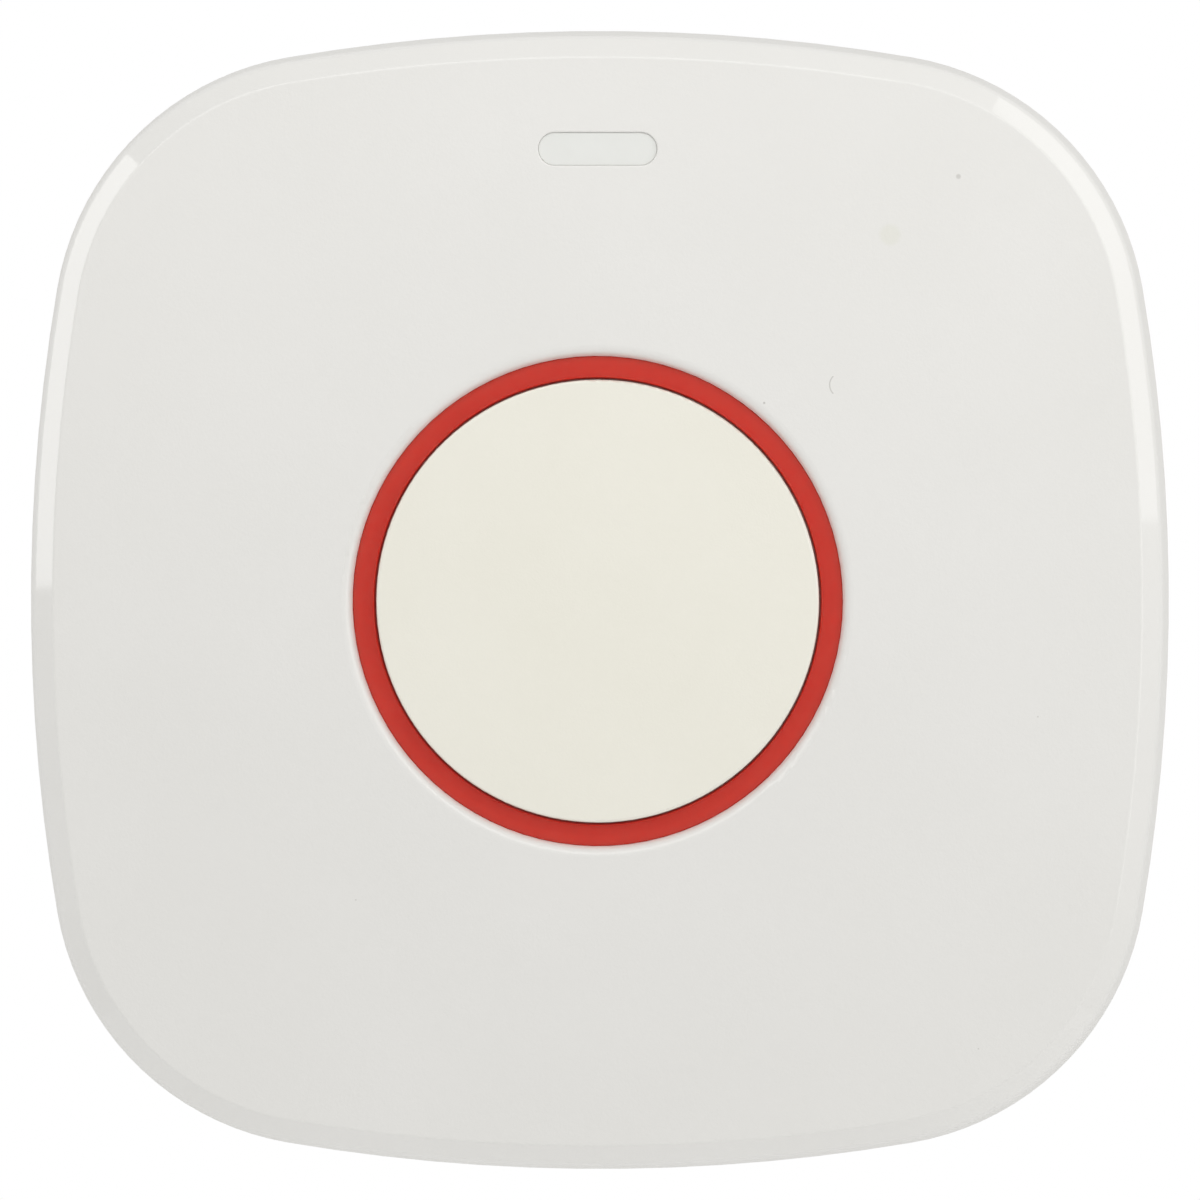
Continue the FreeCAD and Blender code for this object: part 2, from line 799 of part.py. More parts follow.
for side in (-1, 1):
    name = "left" if side < 0 else "right"
    centre = side * size.saddle_x
    pad(
        front_cover, "clamp_rib_" + name, inside_front - 4.0, 4.0,
        (rectangle, centre - rib_half, centre + rib_half, -wall_middle + 1.1, 3.3 - collar_outer),
    )
cut(
    front_cover, "cell_clamps", -(size.saddle_x + size.rib), 2 * (size.saddle_x + size.rib),
    (circle, -cell_y, cell_z, saddle_radius), plane="YZ_Plane",
)
ledge_half = size.hook_width / 2 + size.ledge_margin
near = size.top_hook_x - ledge_half
far = size.top_hook_x + ledge_half
pad(
    front_cover, "top_ledges", size.ledge_back, size.ledge_thickness,
    (rectangle, -far, -near, ledge_inner, wall_middle - 0.8),
    (rectangle, near, far, ledge_inner, wall_middle - 0.8),
)
low = -size.side_hook_y - ledge_half
high = -size.side_hook_y + ledge_half
pad(
    front_cover, "side_ledges", size.ledge_back, size.ledge_thickness,
    (rectangle, -wall_middle + 0.4, -ledge_inner, low, high),
    (rectangle, ledge_inner, wall_middle - 0.4, low, high),
)

# Accent ring: visible neck in the opening, keyed flange behind the front wall
accent_ring = new_piece("accent_ring")
pad(
    accent_ring, "flange", ring_back, size.ring_flange_thickness,
    (circle, 0, 0, size.ring_flange),
)
notch_side = size.key_width / 2 + 0.1
ring_notch = cut(
    accent_ring, "key_notch", ring_back - 1.0, 4.0,
    (rectangle, -notch_side, notch_side, size.key_inner - 0.1, size.ring_flange + 1.0),
)
repeat_round(accent_ring, "key_notches", [ring_notch], 3)
pad(
    accent_ring, "neck", inside_front, ring_face - inside_front,
    (circle, 0, 0, size.ring_outer),
)
cut(
    accent_ring, "drafted_bore", ring_face, ring_face - ring_back + 0.5,
    (circle, 0, 0, size.ring_inner), ahead=False, draft=-size.ring_bore_draft,
)
cut(
    accent_ring, "stake_holes", ring_back - 1.0, 4.0,
    *[(circle, x, y, size.stake_radius + 0.05) for x, y in stakes],
)
cut(
    accent_ring, "stake_sinks", ring_back + size.stake_sink, 3.0,
    *[(circle, x, y, size.stake_head + 0.1) for x, y in stakes], ahead=False,
)
ring_top = value_of(ring_face)
bevel_edges(
    accent_ring, "face_edges", edges_of(accent_ring, ring_top - 0.01, ring_top + 0.01),
    size.ring_edge,
)

# Push button: cap, skirt and keyed flange, ribbed hub that carries the plunger
push_button = new_piece("push_button")
pad(push_button, "flange", flange_back, size.button_flange_thickness,
    (circle, 0, 0, size.button_flange))
notch = cut(
    push_button, "key_notch", flange_back - 1.0, 5.0,
    (rectangle, -notch_side, notch_side, size.key_inner - 0.1, size.button_flange + 1.0),
)
repeat_round(push_button, "key_notches", [notch], 3)
pad(push_button, "cap", flange_back, button_face - flange_back,
    (circle, 0, 0, size.button_radius))
cap_face = value_of(button_face)
round_edges(
    push_button, "cap_edge", edges_of(push_button, cap_face - 0.01, cap_face + 0.01),
    size.button_round,
)
cut(
    push_button, "cap_inside", flange_back - 1.0, button_inside - flange_back + 1.0,
    (circle, 0, 0, size.button_radius - size.button_wall),
)
rib = pad(
    push_button, "rib", spring_seat - 0.3, button_inside - spring_seat + 0.3,
    (rectangle, size.button_hub - 0.5, size.button_radius - size.button_wall + 0.3, -0.6, 0.6),
)
repeat_round(push_button, "ribs", [rib], 6)
pad(
    push_button, "hub", spring_seat - 1.0, button_inside - spring_seat + 1.0,
    (circle, 0, 0, size.button_hub),
)
cut(
    push_button, "spring_pocket", spring_seat - 2.0, 2.0,
    (circle, 0, 0, size.spring_mean + size.spring_wire / 2 + 0.1),
)
pad(
    push_button, "plunger", plunger_end, spring_seat - plunger_end,
    (circle, 0, 0, size.button_post),
)

# Return spring between the board and the hub of the button
return_spring = new_piece("return_spring")
coil(
    return_spring, size.spring_mean, size.spring_wire, board_front, spring_seat,
    size.spring_turns, 0 * size.spring_mean, 0 * size.spring_mean,
)

# Circuit board: follows the housing, with a bay for the cell cut out of its lower edge
circuit_board = new_piece("circuit_board")
pad(
    circuit_board, "laminate", board_back, size.board_thickness,
    (housing_outline, size.board_inset),
)
cut(
    circuit_board, "cell_bay", board_back - 1.0, 4.0,
    (rectangle, -size.bay_half, size.bay_half, -size.body_half - 5.0, -bay_edge),
)
cut(
    circuit_board, "screw_holes", board_back - 1.0, 4.0,
    *[(circle, x, y, size.screw_radius + 0.15) for x, y in board_holes],
)

# Button switch: square base, steel frame with the stem bore, four bent legs
tact_switch_body = new_piece("tact_switch_body")
half = size.switch_half
pad(tact_switch_body, "base", board_front, size.switch_height - 0.4,
    (rectangle, -half, half, -half, half))
pad(
    tact_switch_body, "frame", switch_top - 0.4, 0.4,
    (rectangle, -half + 0.2, half - 0.2, -half + 0.2, half - 0.2),
)
cut(tact_switch_body, "stem_bore", switch_top - 1.5, 3.0, (circle, 0, 0, size.switch_stem + 0.1))
for name, sign in (("left", -1), ("right", 1)):
    for level, way in (("low", -1), ("high", 1)):
        leg_low = way * size.switch_leg_y - size.switch_leg_width / 2
        leg_high = way * size.switch_leg_y + size.switch_leg_width / 2
        pad(
            tact_switch_body, "leg_" + name + "_" + level, board_front, size.switch_leg_height,
            (rectangle, sign * (half - 0.1), sign * (half + 0.3), leg_low, leg_high),
        )
        pad(
            tact_switch_body, "foot_" + name + "_" + level, board_front, 0.3,
            (rectangle, sign * half, sign * (half + size.switch_leg_reach), leg_low, leg_high),
        )
tact_switch_actuator = new_piece("tact_switch_actuator")
pad(
    tact_switch_actuator, "stem", switch_top - 1.1, switch_tip - switch_top + 1.1,
    (circle, 0, 0, size.switch_stem),
)
tip = value_of(switch_tip)
bevel_edges(
    tact_switch_actuator, "stem_edge", edges_of(tact_switch_actuator, tip - 0.01, tip + 0.01), 0.2
)

# Status lamp: moulded package with a round reflector cup
status_led = new_piece("status_led")
lamp_y = window_height
lamp_half = size.lamp_length / 2
lamp_side = size.lamp_width / 2
pad(
    status_led, "package", board_front, size.lamp_height,
    (rectangle, -lamp_half, lamp_half, lamp_y - lamp_side, lamp_y + lamp_side),
)
cut(status_led, "cup", board_front + size.lamp_height - 0.5, 2.0, (circle, 0, lamp_y, size.lamp_cup))
pad(
    status_led, "filling", board_front + size.lamp_height - 0.6, 0.5,
    (circle, 0, lamp_y, size.lamp_cup),
)

# Light pipe: lens in the window, flange on two pins, tapered stem down to the lamp
light_pipe = new_piece("light_pipe")
pipe_x = 0 * size.window_width
flange_half = size.pipe_flange_length / 2
flange_side = size.pipe_flange_width / 2
pad(
    light_pipe, "flange", inside_front - 1.0, 1.0,
    (pill, pipe_x, lamp_y, size.pipe_flange_length, size.pipe_flange_width),
)
pad(
    light_pipe, "lens", inside_front, size.front_wall - size.lens_recess,
    (pill, pipe_x, lamp_y, size.window_length - 2 * size.window_gap,
     size.window_width - 2 * size.window_gap),
)
lens_top = value_of(size.body_depth - size.lens_recess)
bevel_edges(
    light_pipe, "lens_edge", edges_of(light_pipe, lens_top - 0.01, lens_top + 0.01),
    size.lens_edge,
)
cut(
    light_pipe, "pin_holes", inside_front - 2.0, 4.0,
    (circle, size.pipe_pin_x, lamp_y, size.pipe_pin_radius + 0.05),
    (circle, -size.pipe_pin_x, lamp_y, size.pipe_pin_radius + 0.05),
)
pipe_end = board_front + size.lamp_height + size.pipe_lamp_gap
stem_half = size.pipe_stem_length / 2
stem_side = size.pipe_stem_width / 2
pad(
    light_pipe, "stem", inside_front - 1.0, inside_front - 1.0 - pipe_end,
    (rectangle, -stem_half, stem_half, lamp_y - stem_side, lamp_y + stem_side),
    back=True, draft=-size.pipe_draft,
)

# Controller: flat package with eight leads on each side
controller_chip = new_piece("controller_chip")
chip_x = -size.chip_x
chip_y = -size.chip_y
chip_half = size.chip_half
chip_top = board_front + size.chip_standoff + size.chip_height
lead_end = chip_half + size.lead_reach
lead_row = size.lead_pitch * 7
first_low = lead_row / 2 + size.lead_width / 2
first_high = lead_row / 2 - size.lead_width / 2
pad(
    controller_chip, "package", board_front + size.chip_standoff, size.chip_height,
    (rectangle, chip_x - chip_half, chip_x + chip_half, chip_y - chip_half, chip_y + chip_half),
)
across = pad(
    controller_chip, "lead_across", board_front, 0.3,
    (rectangle, chip_x - lead_end, chip_x + lead_end, chip_y - first_low, chip_y - first_high),
)
repeat_in_line(controller_chip, "leads_across", across, "Y_Axis", lead_row, 8)
along = pad(
    controller_chip, "lead_along", board_front, 0.3,
    (rectangle, chip_x - first_low, chip_x - first_high, chip_y - lead_end, chip_y + lead_end),
)
repeat_in_line(controller_chip, "leads_along", along, "X_Axis", lead_row, 8)
cut(
    controller_chip, "first_pin_mark", chip_top - 0.1, 1.0,
    (circle, chip_x - chip_half + 1.1, chip_y + chip_half - 1.1, 0.5),
)

# Radio screening can with a row of vent holes
radio_shield = new_piece("radio_shield")
can_half = size.radio_length / 2
can_side = size.radio_width / 2
can_x = -(board_edge - size.radio_margin - can_half)
can_y = size.radio_y
inner_half = can_half - size.radio_sheet
inner_side = can_side - size.radio_sheet
pad(
    radio_shield, "can", board_front, size.radio_height,
    (rectangle, can_x - can_half, can_x + can_half, can_y - can_side, can_y + can_side),
)
corners = []
for number, edge in enumerate(radio_shield.Tip.Shape.Edges, start=1):
    if edge.BoundBox.ZLength > value_of(size.radio_height) / 2:
        corners.append("Edge%d" % number)
round_edges(radio_shield, "can_corners", corners, size.radio_corner)
can_top = value_of(board_front + size.radio_height)
bevel_edges(
    radio_shield, "can_rim", edges_of(radio_shield, can_top - 0.01, can_top + 0.01), 0.2
)
cut(
    radio_shield, "can_inside", board_front, size.radio_height - size.radio_sheet,
    (rectangle, can_x - inner_half, can_x + inner_half, can_y - inner_side, can_y + inner_side),
)
vent = cut(
    radio_shield, "vent", board_front + size.radio_height - 2 * size.radio_sheet, 2.0,
    (circle, can_x - size.vent_pitch * 1.5, can_y, size.vent_radius),
)
repeat_in_line(radio_shield, "vents", vent, "X_Axis", size.vent_pitch * 3, 4)

# Timing crystal in a pill-shaped can
crystal_can = new_piece("crystal_can")
crystal_x = 0 * size.crystal_length
crystal_y = -size.crystal_y
pad(
    crystal_can, "foot", board_front, size.crystal_foot,
    (pill, crystal_x, crystal_y, size.crystal_length, size.crystal_width),
)
pad(
    crystal_can, "can", board_front + size.crystal_foot, size.crystal_height,
    (pill, crystal_x, crystal_y, size.crystal_length - 2 * size.crystal_step,
     size.crystal_width - 2 * size.crystal_step),
)

# Radio antenna: a wire bent into a hairpin that stands above the board on its two ends
antenna_wire = new_piece("antenna_wire")
wire_level = board_front + size.antenna_level
wire = size.antenna_wire
outer_leg = board_edge - size.antenna_margin
inner_leg = outer_leg - size.antenna_spread
bend_x = outer_leg - size.antenna_spread / 2
bend_y = size.antenna_bend_y
outer_end = -size.antenna_outer_end
inner_end = size.antenna_inner_end
path = new_sketch(antenna_wire, "hairpin", wire_level)
first = Part.LineSegment(
    vector(value_of(outer_leg), value_of(outer_end), 0),
    vector(value_of(outer_leg), value_of(bend_y), 0),
)
bend_circle = Part.Circle(
    vector(value_of(bend_x), value_of(bend_y), 0), vector(0, 0, 1),
    value_of(size.antenna_spread) / 2,
)
last = Part.LineSegment(
    vector(value_of(inner_leg), value_of(bend_y), 0),
    vector(value_of(inner_leg), value_of(inner_end), 0),
)
line_out = path.addGeometry(first, False)
bend = path.addGeometry(Part.ArcOfCircle(bend_circle, 0.0, math.pi), False)
line_in = path.addGeometry(last, False)
path.addConstraint(Sketcher.Constraint("Tangent", line_out, 2, bend, 1))
path.addConstraint(Sketcher.Constraint("Tangent", bend, 2, line_in, 1))
fix_point(path, line_out, 1, outer_leg, outer_end)
fix_point(path, bend, 3, bend_x, bend_y)
fix(path, "Radius", bend, size.antenna_spread / 2)
fix_point(path, line_in, 2, inner_leg, inner_end)
section = new_sketch(antenna_wire, "wire_section", -outer_end, "XZ_Plane")
circle(section, outer_leg, wire_level, wire)
doc.recompute()
pipe = antenna_wire.newObject("PartDesign::AdditivePipe", "wire")
pipe.Profile = section
pipe.Spine = (path, ["Edge1", "Edge2", "Edge3"])
doc.recompute()
pad(
    antenna_wire, "legs", board_front, size.antenna_level + wire,
    (circle, outer_leg, outer_end, wire), (circle, inner_leg, inner_end, wire),
)

# Buffer capacitor: round can on a square base
buffer_capacitor = new_piece("buffer_capacitor")
base_half = size.buffer_half
buffer_x = boss_low_x - size.boss_radius - size.buffer_gap - base_half
buffer_y = -size.buffer_y
can_level = board_front + size.buffer_base
pad(
    buffer_capacitor, "base", board_front, size.buffer_base,
    (rectangle, buffer_x - base_half, buffer_x + base_half, buffer_y - base_half,
     buffer_y + base_half),
)
pad(
    buffer_capacitor, "can", can_level, size.buffer_height,
    (circle, buffer_x, buffer_y, size.buffer_can),
)
rim = value_of(can_level + size.buffer_height)
bevel_edges(
    buffer_capacitor, "can_rim", edges_of(buffer_capacitor, rim - 0.01, rim + 0.01), 0.4
)

# Small chip resistors and capacitors round the controller, the lamp and the radio
chip_parts = new_piece("chip_parts")
grid_spots = [
    (-9, -19), (-9, -14), (-38, -18), (-38, -24), (17, -26), (17, -21), (25, -21), (25, -26),
    (-26, 39), (-19, 39), (38, 19), (38, 25),
]
lamp_spots = [(-12, -4), (-12, 2), (12, -4), (12, 2)]
grid = size.board_grid
spots = [(grid * column, grid * line) for column, line in grid_spots]
spots += [(grid * column, window_height + grid * line) for column, line in lamp_spots]
part_half = size.part_length / 2
part_side = size.part_width / 2
pad(
    chip_parts, "chips", board_front, size.part_height,
    *[(rectangle, x - part_half, x + part_half, y - part_side, y + part_side)
      for x, y in spots],
)

# Lithium cell, lying along x under the button
battery_cell = new_piece("battery_cell")
cell_spot = (-cell_y, cell_z)
cap_start = cell_end - size.cell_cap_height
shoulder_start = cap_start - size.cell_shoulder
crimp_start = shoulder_start - size.cell_crimp
cell_steps = [
    ("can", -cell_end, crimp_start + cell_end, size.cell_radius),
    ("crimp", crimp_start, size.cell_crimp, size.cell_radius - size.cell_crimp_depth),
    ("shoulder", shoulder_start, size.cell_shoulder, size.cell_radius),
    ("cap", cap_start, size.cell_cap_height, size.cell_cap_radius),
]
for name, start, depth, radius in cell_steps:
    pad(battery_cell, name, start, depth, (circle, *cell_spot, radius), plane="YZ_Plane")
ends = []
for number, edge in enumerate(battery_cell.Tip.Shape.Edges, start=1):
    at_back = abs(edge.CenterOfMass.x + value_of(cell_end)) < 0.01
    at_front = abs(edge.CenterOfMass.x - value_of(cap_start)) < 0.01
    if edge.Length > 4 * value_of(size.cell_radius) and (at_back or at_front):
        ends.append("Edge%d" % number)
bevel_edges(battery_cell, "can_edges", ends, 0.5)

# Contact strips of the cell, folded up from the board on each side of the bay
thin = size.contact_thickness
touch = cell_end + size.contact_gap
fold = size.bay_half + size.contact_setback
foot = fold + size.contact_foot
strip_top = cell_z + size.contact_rise
battery_plate = new_piece("battery_plate")
plate_points = [
    (touch, cell_z - size.contact_drop),
    (touch + thin, cell_z - size.contact_drop),
    (touch + thin, strip_top - thin),
    (fold, strip_top - thin),
    (fold, board_front),
    (foot, board_front),
    (foot, board_front + thin),
    (fold + thin, board_front + thin),
    (fold + thin, strip_top),
    (touch, strip_top),
]
strip_start = cell_y - size.contact_half_width
strip_width = size.contact_half_width * 2
pad(
    battery_plate, "strip", strip_start, strip_width, (polygon, plate_points), plane="XZ_Plane"
)
battery_spring = new_piece("battery_spring")
bow = touch + size.leaf_bow
leaf_points = [
    (foot, board_front),
    (fold, board_front),
    (fold, strip_top - thin),
    (bow, strip_top - thin),
    (touch + thin, cell_z + size.leaf_nose),
    (touch + thin, cell_z - size.leaf_nose),
    (bow - 0.15, cell_z - size.leaf_tail),
    (bow - 0.5, cell_z - size.leaf_tail - 0.2),
    (touch, cell_z - size.leaf_nose - 0.1),
    (touch, cell_z + size.leaf_nose + 0.1),
    (bow - 0.2, strip_top),
    (fold + thin, strip_top),
    (fold + thin, board_front + thin),
    (foot, board_front + thin),
]
pad(
    battery_spring, "strip", strip_start, strip_width,
    (polygon, [(-x, y) for x, y in leaf_points]), plane="XZ_Plane",
)

# Tamper switch under the board, its stem pressed in while the device is on the wall
tamper_switch_body = new_piece("tamper_switch_body")
tamper_half = size.tamper_switch_half
tamper_centre = (-size.tamper_x, size.tamper_y)
pad(
    tamper_switch_body, "base", tamper_face, size.tamper_switch_height,
    (rectangle, -size.tamper_x - tamper_half, -size.tamper_x + tamper_half,
     size.tamper_y - tamper_half, size.tamper_y + tamper_half),
)
for name, sign in (("left", -1), ("right", 1)):
    edge_x = -size.tamper_x + sign * tamper_half
    pad(
        tamper_switch_body, "feet_" + name, board_back - 0.3, 0.3,
        (rectangle, edge_x - sign * 0.4, edge_x + sign * 0.9, size.tamper_y - tamper_half / 1.3,
         size.tamper_y - tamper_half / 2),
        (rectangle, edge_x - sign * 0.4, edge_x + sign * 0.9, size.tamper_y + tamper_half / 2,
         size.tamper_y + tamper_half / 1.3),
    )
cut(tamper_switch_body, "stem_bore", tamper_face - 0.5, 1.7, (circle, *tamper_centre, 1.4))
tamper_switch_actuator = new_piece("tamper_switch_actuator")
pad(tamper_switch_actuator, "stem", tamper_tip, 1.3, (circle, *tamper_centre, 1.3))

# Tamper plunger: pin through the back, guided flange, post that reaches the switch
tamper_plunger = new_piece("tamper_plunger")
flange_top = size.tamper_flange_z + size.tamper_flange_thickness
pad(tamper_plunger, "pin", 0.0, size.tamper_flange_z, (circle, *tamper_centre, size.tamper_pin))
round_edges(tamper_plunger, "pin_end", edges_of(tamper_plunger, -0.01, 0.01), 0.4)
pad(
    tamper_plunger, "flange", size.tamper_flange_z, size.tamper_flange_thickness,
    (circle, *tamper_centre, size.tamper_flange),
)
pad(
    tamper_plunger, "post", flange_top, tamper_tip - 0.02 - flange_top,
    (circle, *tamper_centre, size.tamper_post),
)
tamper_spring = new_piece("tamper_spring")
coil(
    tamper_spring, size.tamper_spring_mean, size.tamper_spring_wire, flange_top, tamper_face,
    size.tamper_spring_turns, -size.tamper_x, size.tamper_y,
)

# Board screws: pan heads behind the board, shanks in the pilot holes
board_screws = new_piece("board_screws")
pad(
    board_screws, "heads", board_back - size.screw_head_height, size.screw_head_height,
    *[(circle, x, y, size.screw_head) for x, y in board_holes],
)
pad(
    board_screws, "shanks", board_back, size.screw_length + size.board_thickness,
    *[(circle, x, y, size.screw_radius) for x, y in board_holes],
)
head_level = value_of(board_back - size.screw_head_height)
bevel_edges(
    board_screws, "head_edges", edges_of(board_screws, head_level - 0.01, head_level + 0.01), 0.45
)
recess_start = board_back - size.screw_head_height - 0.5
recess = size.recess_half
slot = size.recess_slot
cut(
    board_screws, "recess_across", recess_start, size.recess_depth + 0.5,
    *[(rectangle, x - recess, x + recess, y - slot, y + slot) for x, y in board_holes],
)
cut(
    board_screws, "recess_along", recess_start, size.recess_depth + 0.5,
    *[(rectangle, x - slot, x + slot, y - recess, y + recess) for x, y in board_holes],
)

# Check every object, then write one file for each piece
doc.recompute()
for item in doc.Objects:
    if "Invalid" in item.State or "Error" in item.State:
        raise RuntimeError(item.Name + " is not sound: " + str(item.State))
for body in pieces:
    shape = body.Shape
    if shape.isNull() or not shape.isValid():
        raise RuntimeError(body.Label + " has no valid shape")
    shape.exportStep("parts/" + body.Label + ".step")
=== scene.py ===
import json
import math

import bpy
import numpy as np
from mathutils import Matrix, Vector


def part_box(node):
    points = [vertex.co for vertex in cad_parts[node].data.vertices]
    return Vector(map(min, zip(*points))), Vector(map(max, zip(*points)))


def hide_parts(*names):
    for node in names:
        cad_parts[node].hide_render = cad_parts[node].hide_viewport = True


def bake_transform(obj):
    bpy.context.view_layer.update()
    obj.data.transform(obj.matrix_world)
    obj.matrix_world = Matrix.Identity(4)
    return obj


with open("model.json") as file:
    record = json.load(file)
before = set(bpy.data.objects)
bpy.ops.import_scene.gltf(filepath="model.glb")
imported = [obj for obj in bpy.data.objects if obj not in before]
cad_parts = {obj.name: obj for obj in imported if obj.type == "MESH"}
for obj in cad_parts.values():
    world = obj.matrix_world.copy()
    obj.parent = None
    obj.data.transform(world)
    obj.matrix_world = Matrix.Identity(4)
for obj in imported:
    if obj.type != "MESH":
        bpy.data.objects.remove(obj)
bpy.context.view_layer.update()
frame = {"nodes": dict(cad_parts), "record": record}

MM = 0.001
FACE = -22.0 * MM                # plane of the housing's face
CAMERA = (0.025, -2.5, 0.013)    # where the lens stands: almost square on, a little up and right
PICTURE_WIDTH = 84.36 * MM       # what the picture takes in at the seam of the housing
PICTURE_PIXELS = 1200
AIM_PIXELS = 0.2                 # how far right of the object's middle the lens aims
SENSOR = 36.0                    # width of the camera's sensor, in millimetres
SEAM = -6.8 * MM                 # plane of the widest outline
RING_FACE = -21.2 * MM           # front plane of the ring
RING_BORE = 15.67 * MM           # radius of the ring's bore at that plane
RING_RIM = 17.1 * MM             # radius of its outer rim
FLOOR = -110.0 * MM              # level of the floor
FLOOR_REACH = 1.4                # half its width
FLOOR_LIFT = 0.25                # how much lighter the floor is seen than it is lit
ROOM_LIGHT = 0.682               # strength of the room's light on the pieces


# Helpers for shader trees

class Tree:
    """One node tree with short calls to add nodes, set their inputs and join them."""

    def __init__(self, tree):
        self.tree = tree

    def node(self, kind, inputs=None, **settings):
        made = self.tree.nodes.new(kind)
        for name, value in settings.items():
            setattr(made, name, value)
        for name, value in (inputs or {}).items():
            self.feed(made.inputs[name], value)
        return made

    def feed(self, socket, value):
        """Joins a socket to another one, or sets its own value."""
        if isinstance(value, bpy.types.NodeSocket):
            self.tree.links.new(value, socket)
        else:
            socket.default_value = value

    def math(self, operation, first, second=0.0):
        return self.node("ShaderNodeMath", {0: first, 1: second}, operation=operation).outputs[0]

    def ramp(self, value, low, high, to_low=0.0, to_high=1.0, smooth=False):
        """Carries a value from one range to another and holds it there."""
        made = self.node(
            "ShaderNodeMapRange",
            {"Value": value, "From Min": low, "From Max": high, "To Min": to_low,
             "To Max": to_high},
            clamp=True, interpolation_type="SMOOTHSTEP" if smooth else "LINEAR",
        )
        return made.outputs["Result"]

    def blend(self, factor, first, second):
        """Mixes two colours; a Mix node has its colours at inputs 6 and 7 and at output 2."""
        made = self.node("ShaderNodeMix", {0: factor}, data_type="RGBA")
        self.feed(made.inputs[6], first)
        self.feed(made.inputs[7], second)
        return made.outputs[2]

    def noise(self, place, scale, detail=2.0, roughness=0.5):
        made = self.node(
            "ShaderNodeTexNoise",
            {"Vector": place, "Scale": scale, "Detail": detail, "Roughness": roughness},
        )
        return made.outputs["Fac"]

    def place(self):
        """Position on the piece in metres."""
        return self.node("ShaderNodeTexCoord").outputs["Object"]


def new_group(name, inputs, outputs):
    """A shader node group with named inputs and outputs."""
    group = bpy.data.node_groups.new(name, "ShaderNodeTree")
    for label, kind, default in inputs:
        socket = group.interface.new_socket(label, in_out="INPUT", socket_type=kind)
        if default is not None:
            socket.default_value = default
    for label, kind in outputs:
        group.interface.new_socket(label, in_out="OUTPUT", socket_type=kind)
    tree = Tree(group)
    entry = tree.node("NodeGroupInput").outputs
    leave = tree.node("NodeGroupOutput").inputs
    return group, tree, entry, leave


VALUE = "NodeSocketFloat"
PLACE = "NodeSocketVector"


def make_moulded_grain():
    """Fine spark-eroded grain of a mould, with the broad faint mottle of the plastic.

    Height is fine noise with about a third of a coarser one added. Mottle is slow noise, 0 to 1.
    """
    group, tree, entry, leave = new_group(
        "moulded_grain",
        [("Place", PLACE, None), ("Grains", VALUE, 6000.0), ("Patches", VALUE, 90.0)],
        [("Height", VALUE), ("Mottle", VALUE)],
    )
    fine = tree.noise(entry["Place"], entry["Grains"], 2.0, 0.6)
    coarse = tree.noise(entry["Place"], tree.math("DIVIDE", entry["Grains"], 4.0), 2.0)
    height = tree.math("ADD", fine, tree.math("MULTIPLY", coarse, 0.35))
    slow = tree.noise(entry["Place"], entry["Patches"], 4.0, 0.6)
    tree.feed(leave["Height"], height)
    tree.feed(leave["Mottle"], tree.ramp(slow, 0.3, 0.7))
    return group


def make_settled_dust():
    """Sparse tiny specks: the middles of those cells whose own number is below the share.

    Mask is 1 in a speck and 0 elsewhere.
    """
    group, tree, entry, leave = new_group(
        "settled_dust",
        [("Place", PLACE, None), ("Cells", VALUE, 500.0), ("Share", VALUE, 0.05),
         ("Size", VALUE, 0.05)],
        [("Mask", VALUE)],
    )
    cells = tree.node(
        "ShaderNodeTexVoronoi", {"Vector": entry["Place"], "Scale": entry["Cells"]},
        feature="F1",
    )
    near = tree.math("LESS_THAN", cells.outputs["Distance"], entry["Size"])
    lot = tree.node("ShaderNodeSeparateColor", {"Color": cells.outputs["Color"]}).outputs[0]
    chosen = tree.math("LESS_THAN", lot, entry["Share"])
    tree.feed(leave["Mask"], tree.math("MULTIPLY", near, chosen))
    return group


def make_worked_metal():
    """Streaks of drawn or rolled metal: noise that is stretched by the streak scales.

    Tint and Streaks run from 0 to 1 and Height follows the streaks.
    """
    group, tree, entry, leave = new_group(
        "worked_metal",
        [("Place", PLACE, None), ("Streaks", PLACE, (400.0, 6000.0, 6000.0)),
         ("Patches", VALUE, 300.0)],
        [("Tint", VALUE), ("Streaks", VALUE), ("Height", VALUE)],
    )
    stretched = tree.node(
        "ShaderNodeVectorMath", {0: entry["Place"], 1: entry["Streaks"]}, operation="MULTIPLY"
    )
    streaks = tree.noise(stretched.outputs[0], 1.0, 3.0, 0.65)
    slow = tree.noise(entry["Place"], entry["Patches"], 3.0, 0.55)
    tree.feed(leave["Tint"], tree.ramp(slow, 0.25, 0.75))
    tree.feed(leave["Streaks"], tree.ramp(streaks, 0.25, 0.75))
    tree.feed(leave["Height"], streaks)
    return group


BLACK = (0.0, 0.0, 0.0, 1.0)
WHITE = (1.0, 1.0, 1.0, 1.0)
moulded_grain = make_moulded_grain()
settled_dust = make_settled_dust()
worked_metal = make_worked_metal()


def new_finish(name, **constants):
    """A material with its Principled surface; constants are set on its own sockets."""
    material = bpy.data.materials.new(name)
    material.use_nodes = True
    material.node_tree.nodes.clear()
    tree = Tree(material.node_tree)
    surface = tree.node("ShaderNodeBsdfPrincipled")
    for label, value in constants.items():
        surface.inputs[label.replace("_", " ")].default_value = value
    tree.node("ShaderNodeOutputMaterial", {"Surface": surface.outputs[0]})
    return material, tree, surface


def use_group(tree, group, **values):
    made = tree.node("ShaderNodeGroup")
    made.node_tree = group
    for label, value in values.items():
        tree.feed(made.inputs[label], value)
    return made.outputs


def bump(tree, surface, height, depth):
    """Height in 0 to 1 becomes relief of that depth in metres."""
    made = tree.node("ShaderNodeBump", {"Height": height, "Distance": depth, "Strength": 1.0})
    tree.feed(surface.inputs["Normal"], made.outputs[0])


def opaque(colour):
    return (*colour, 1.0)


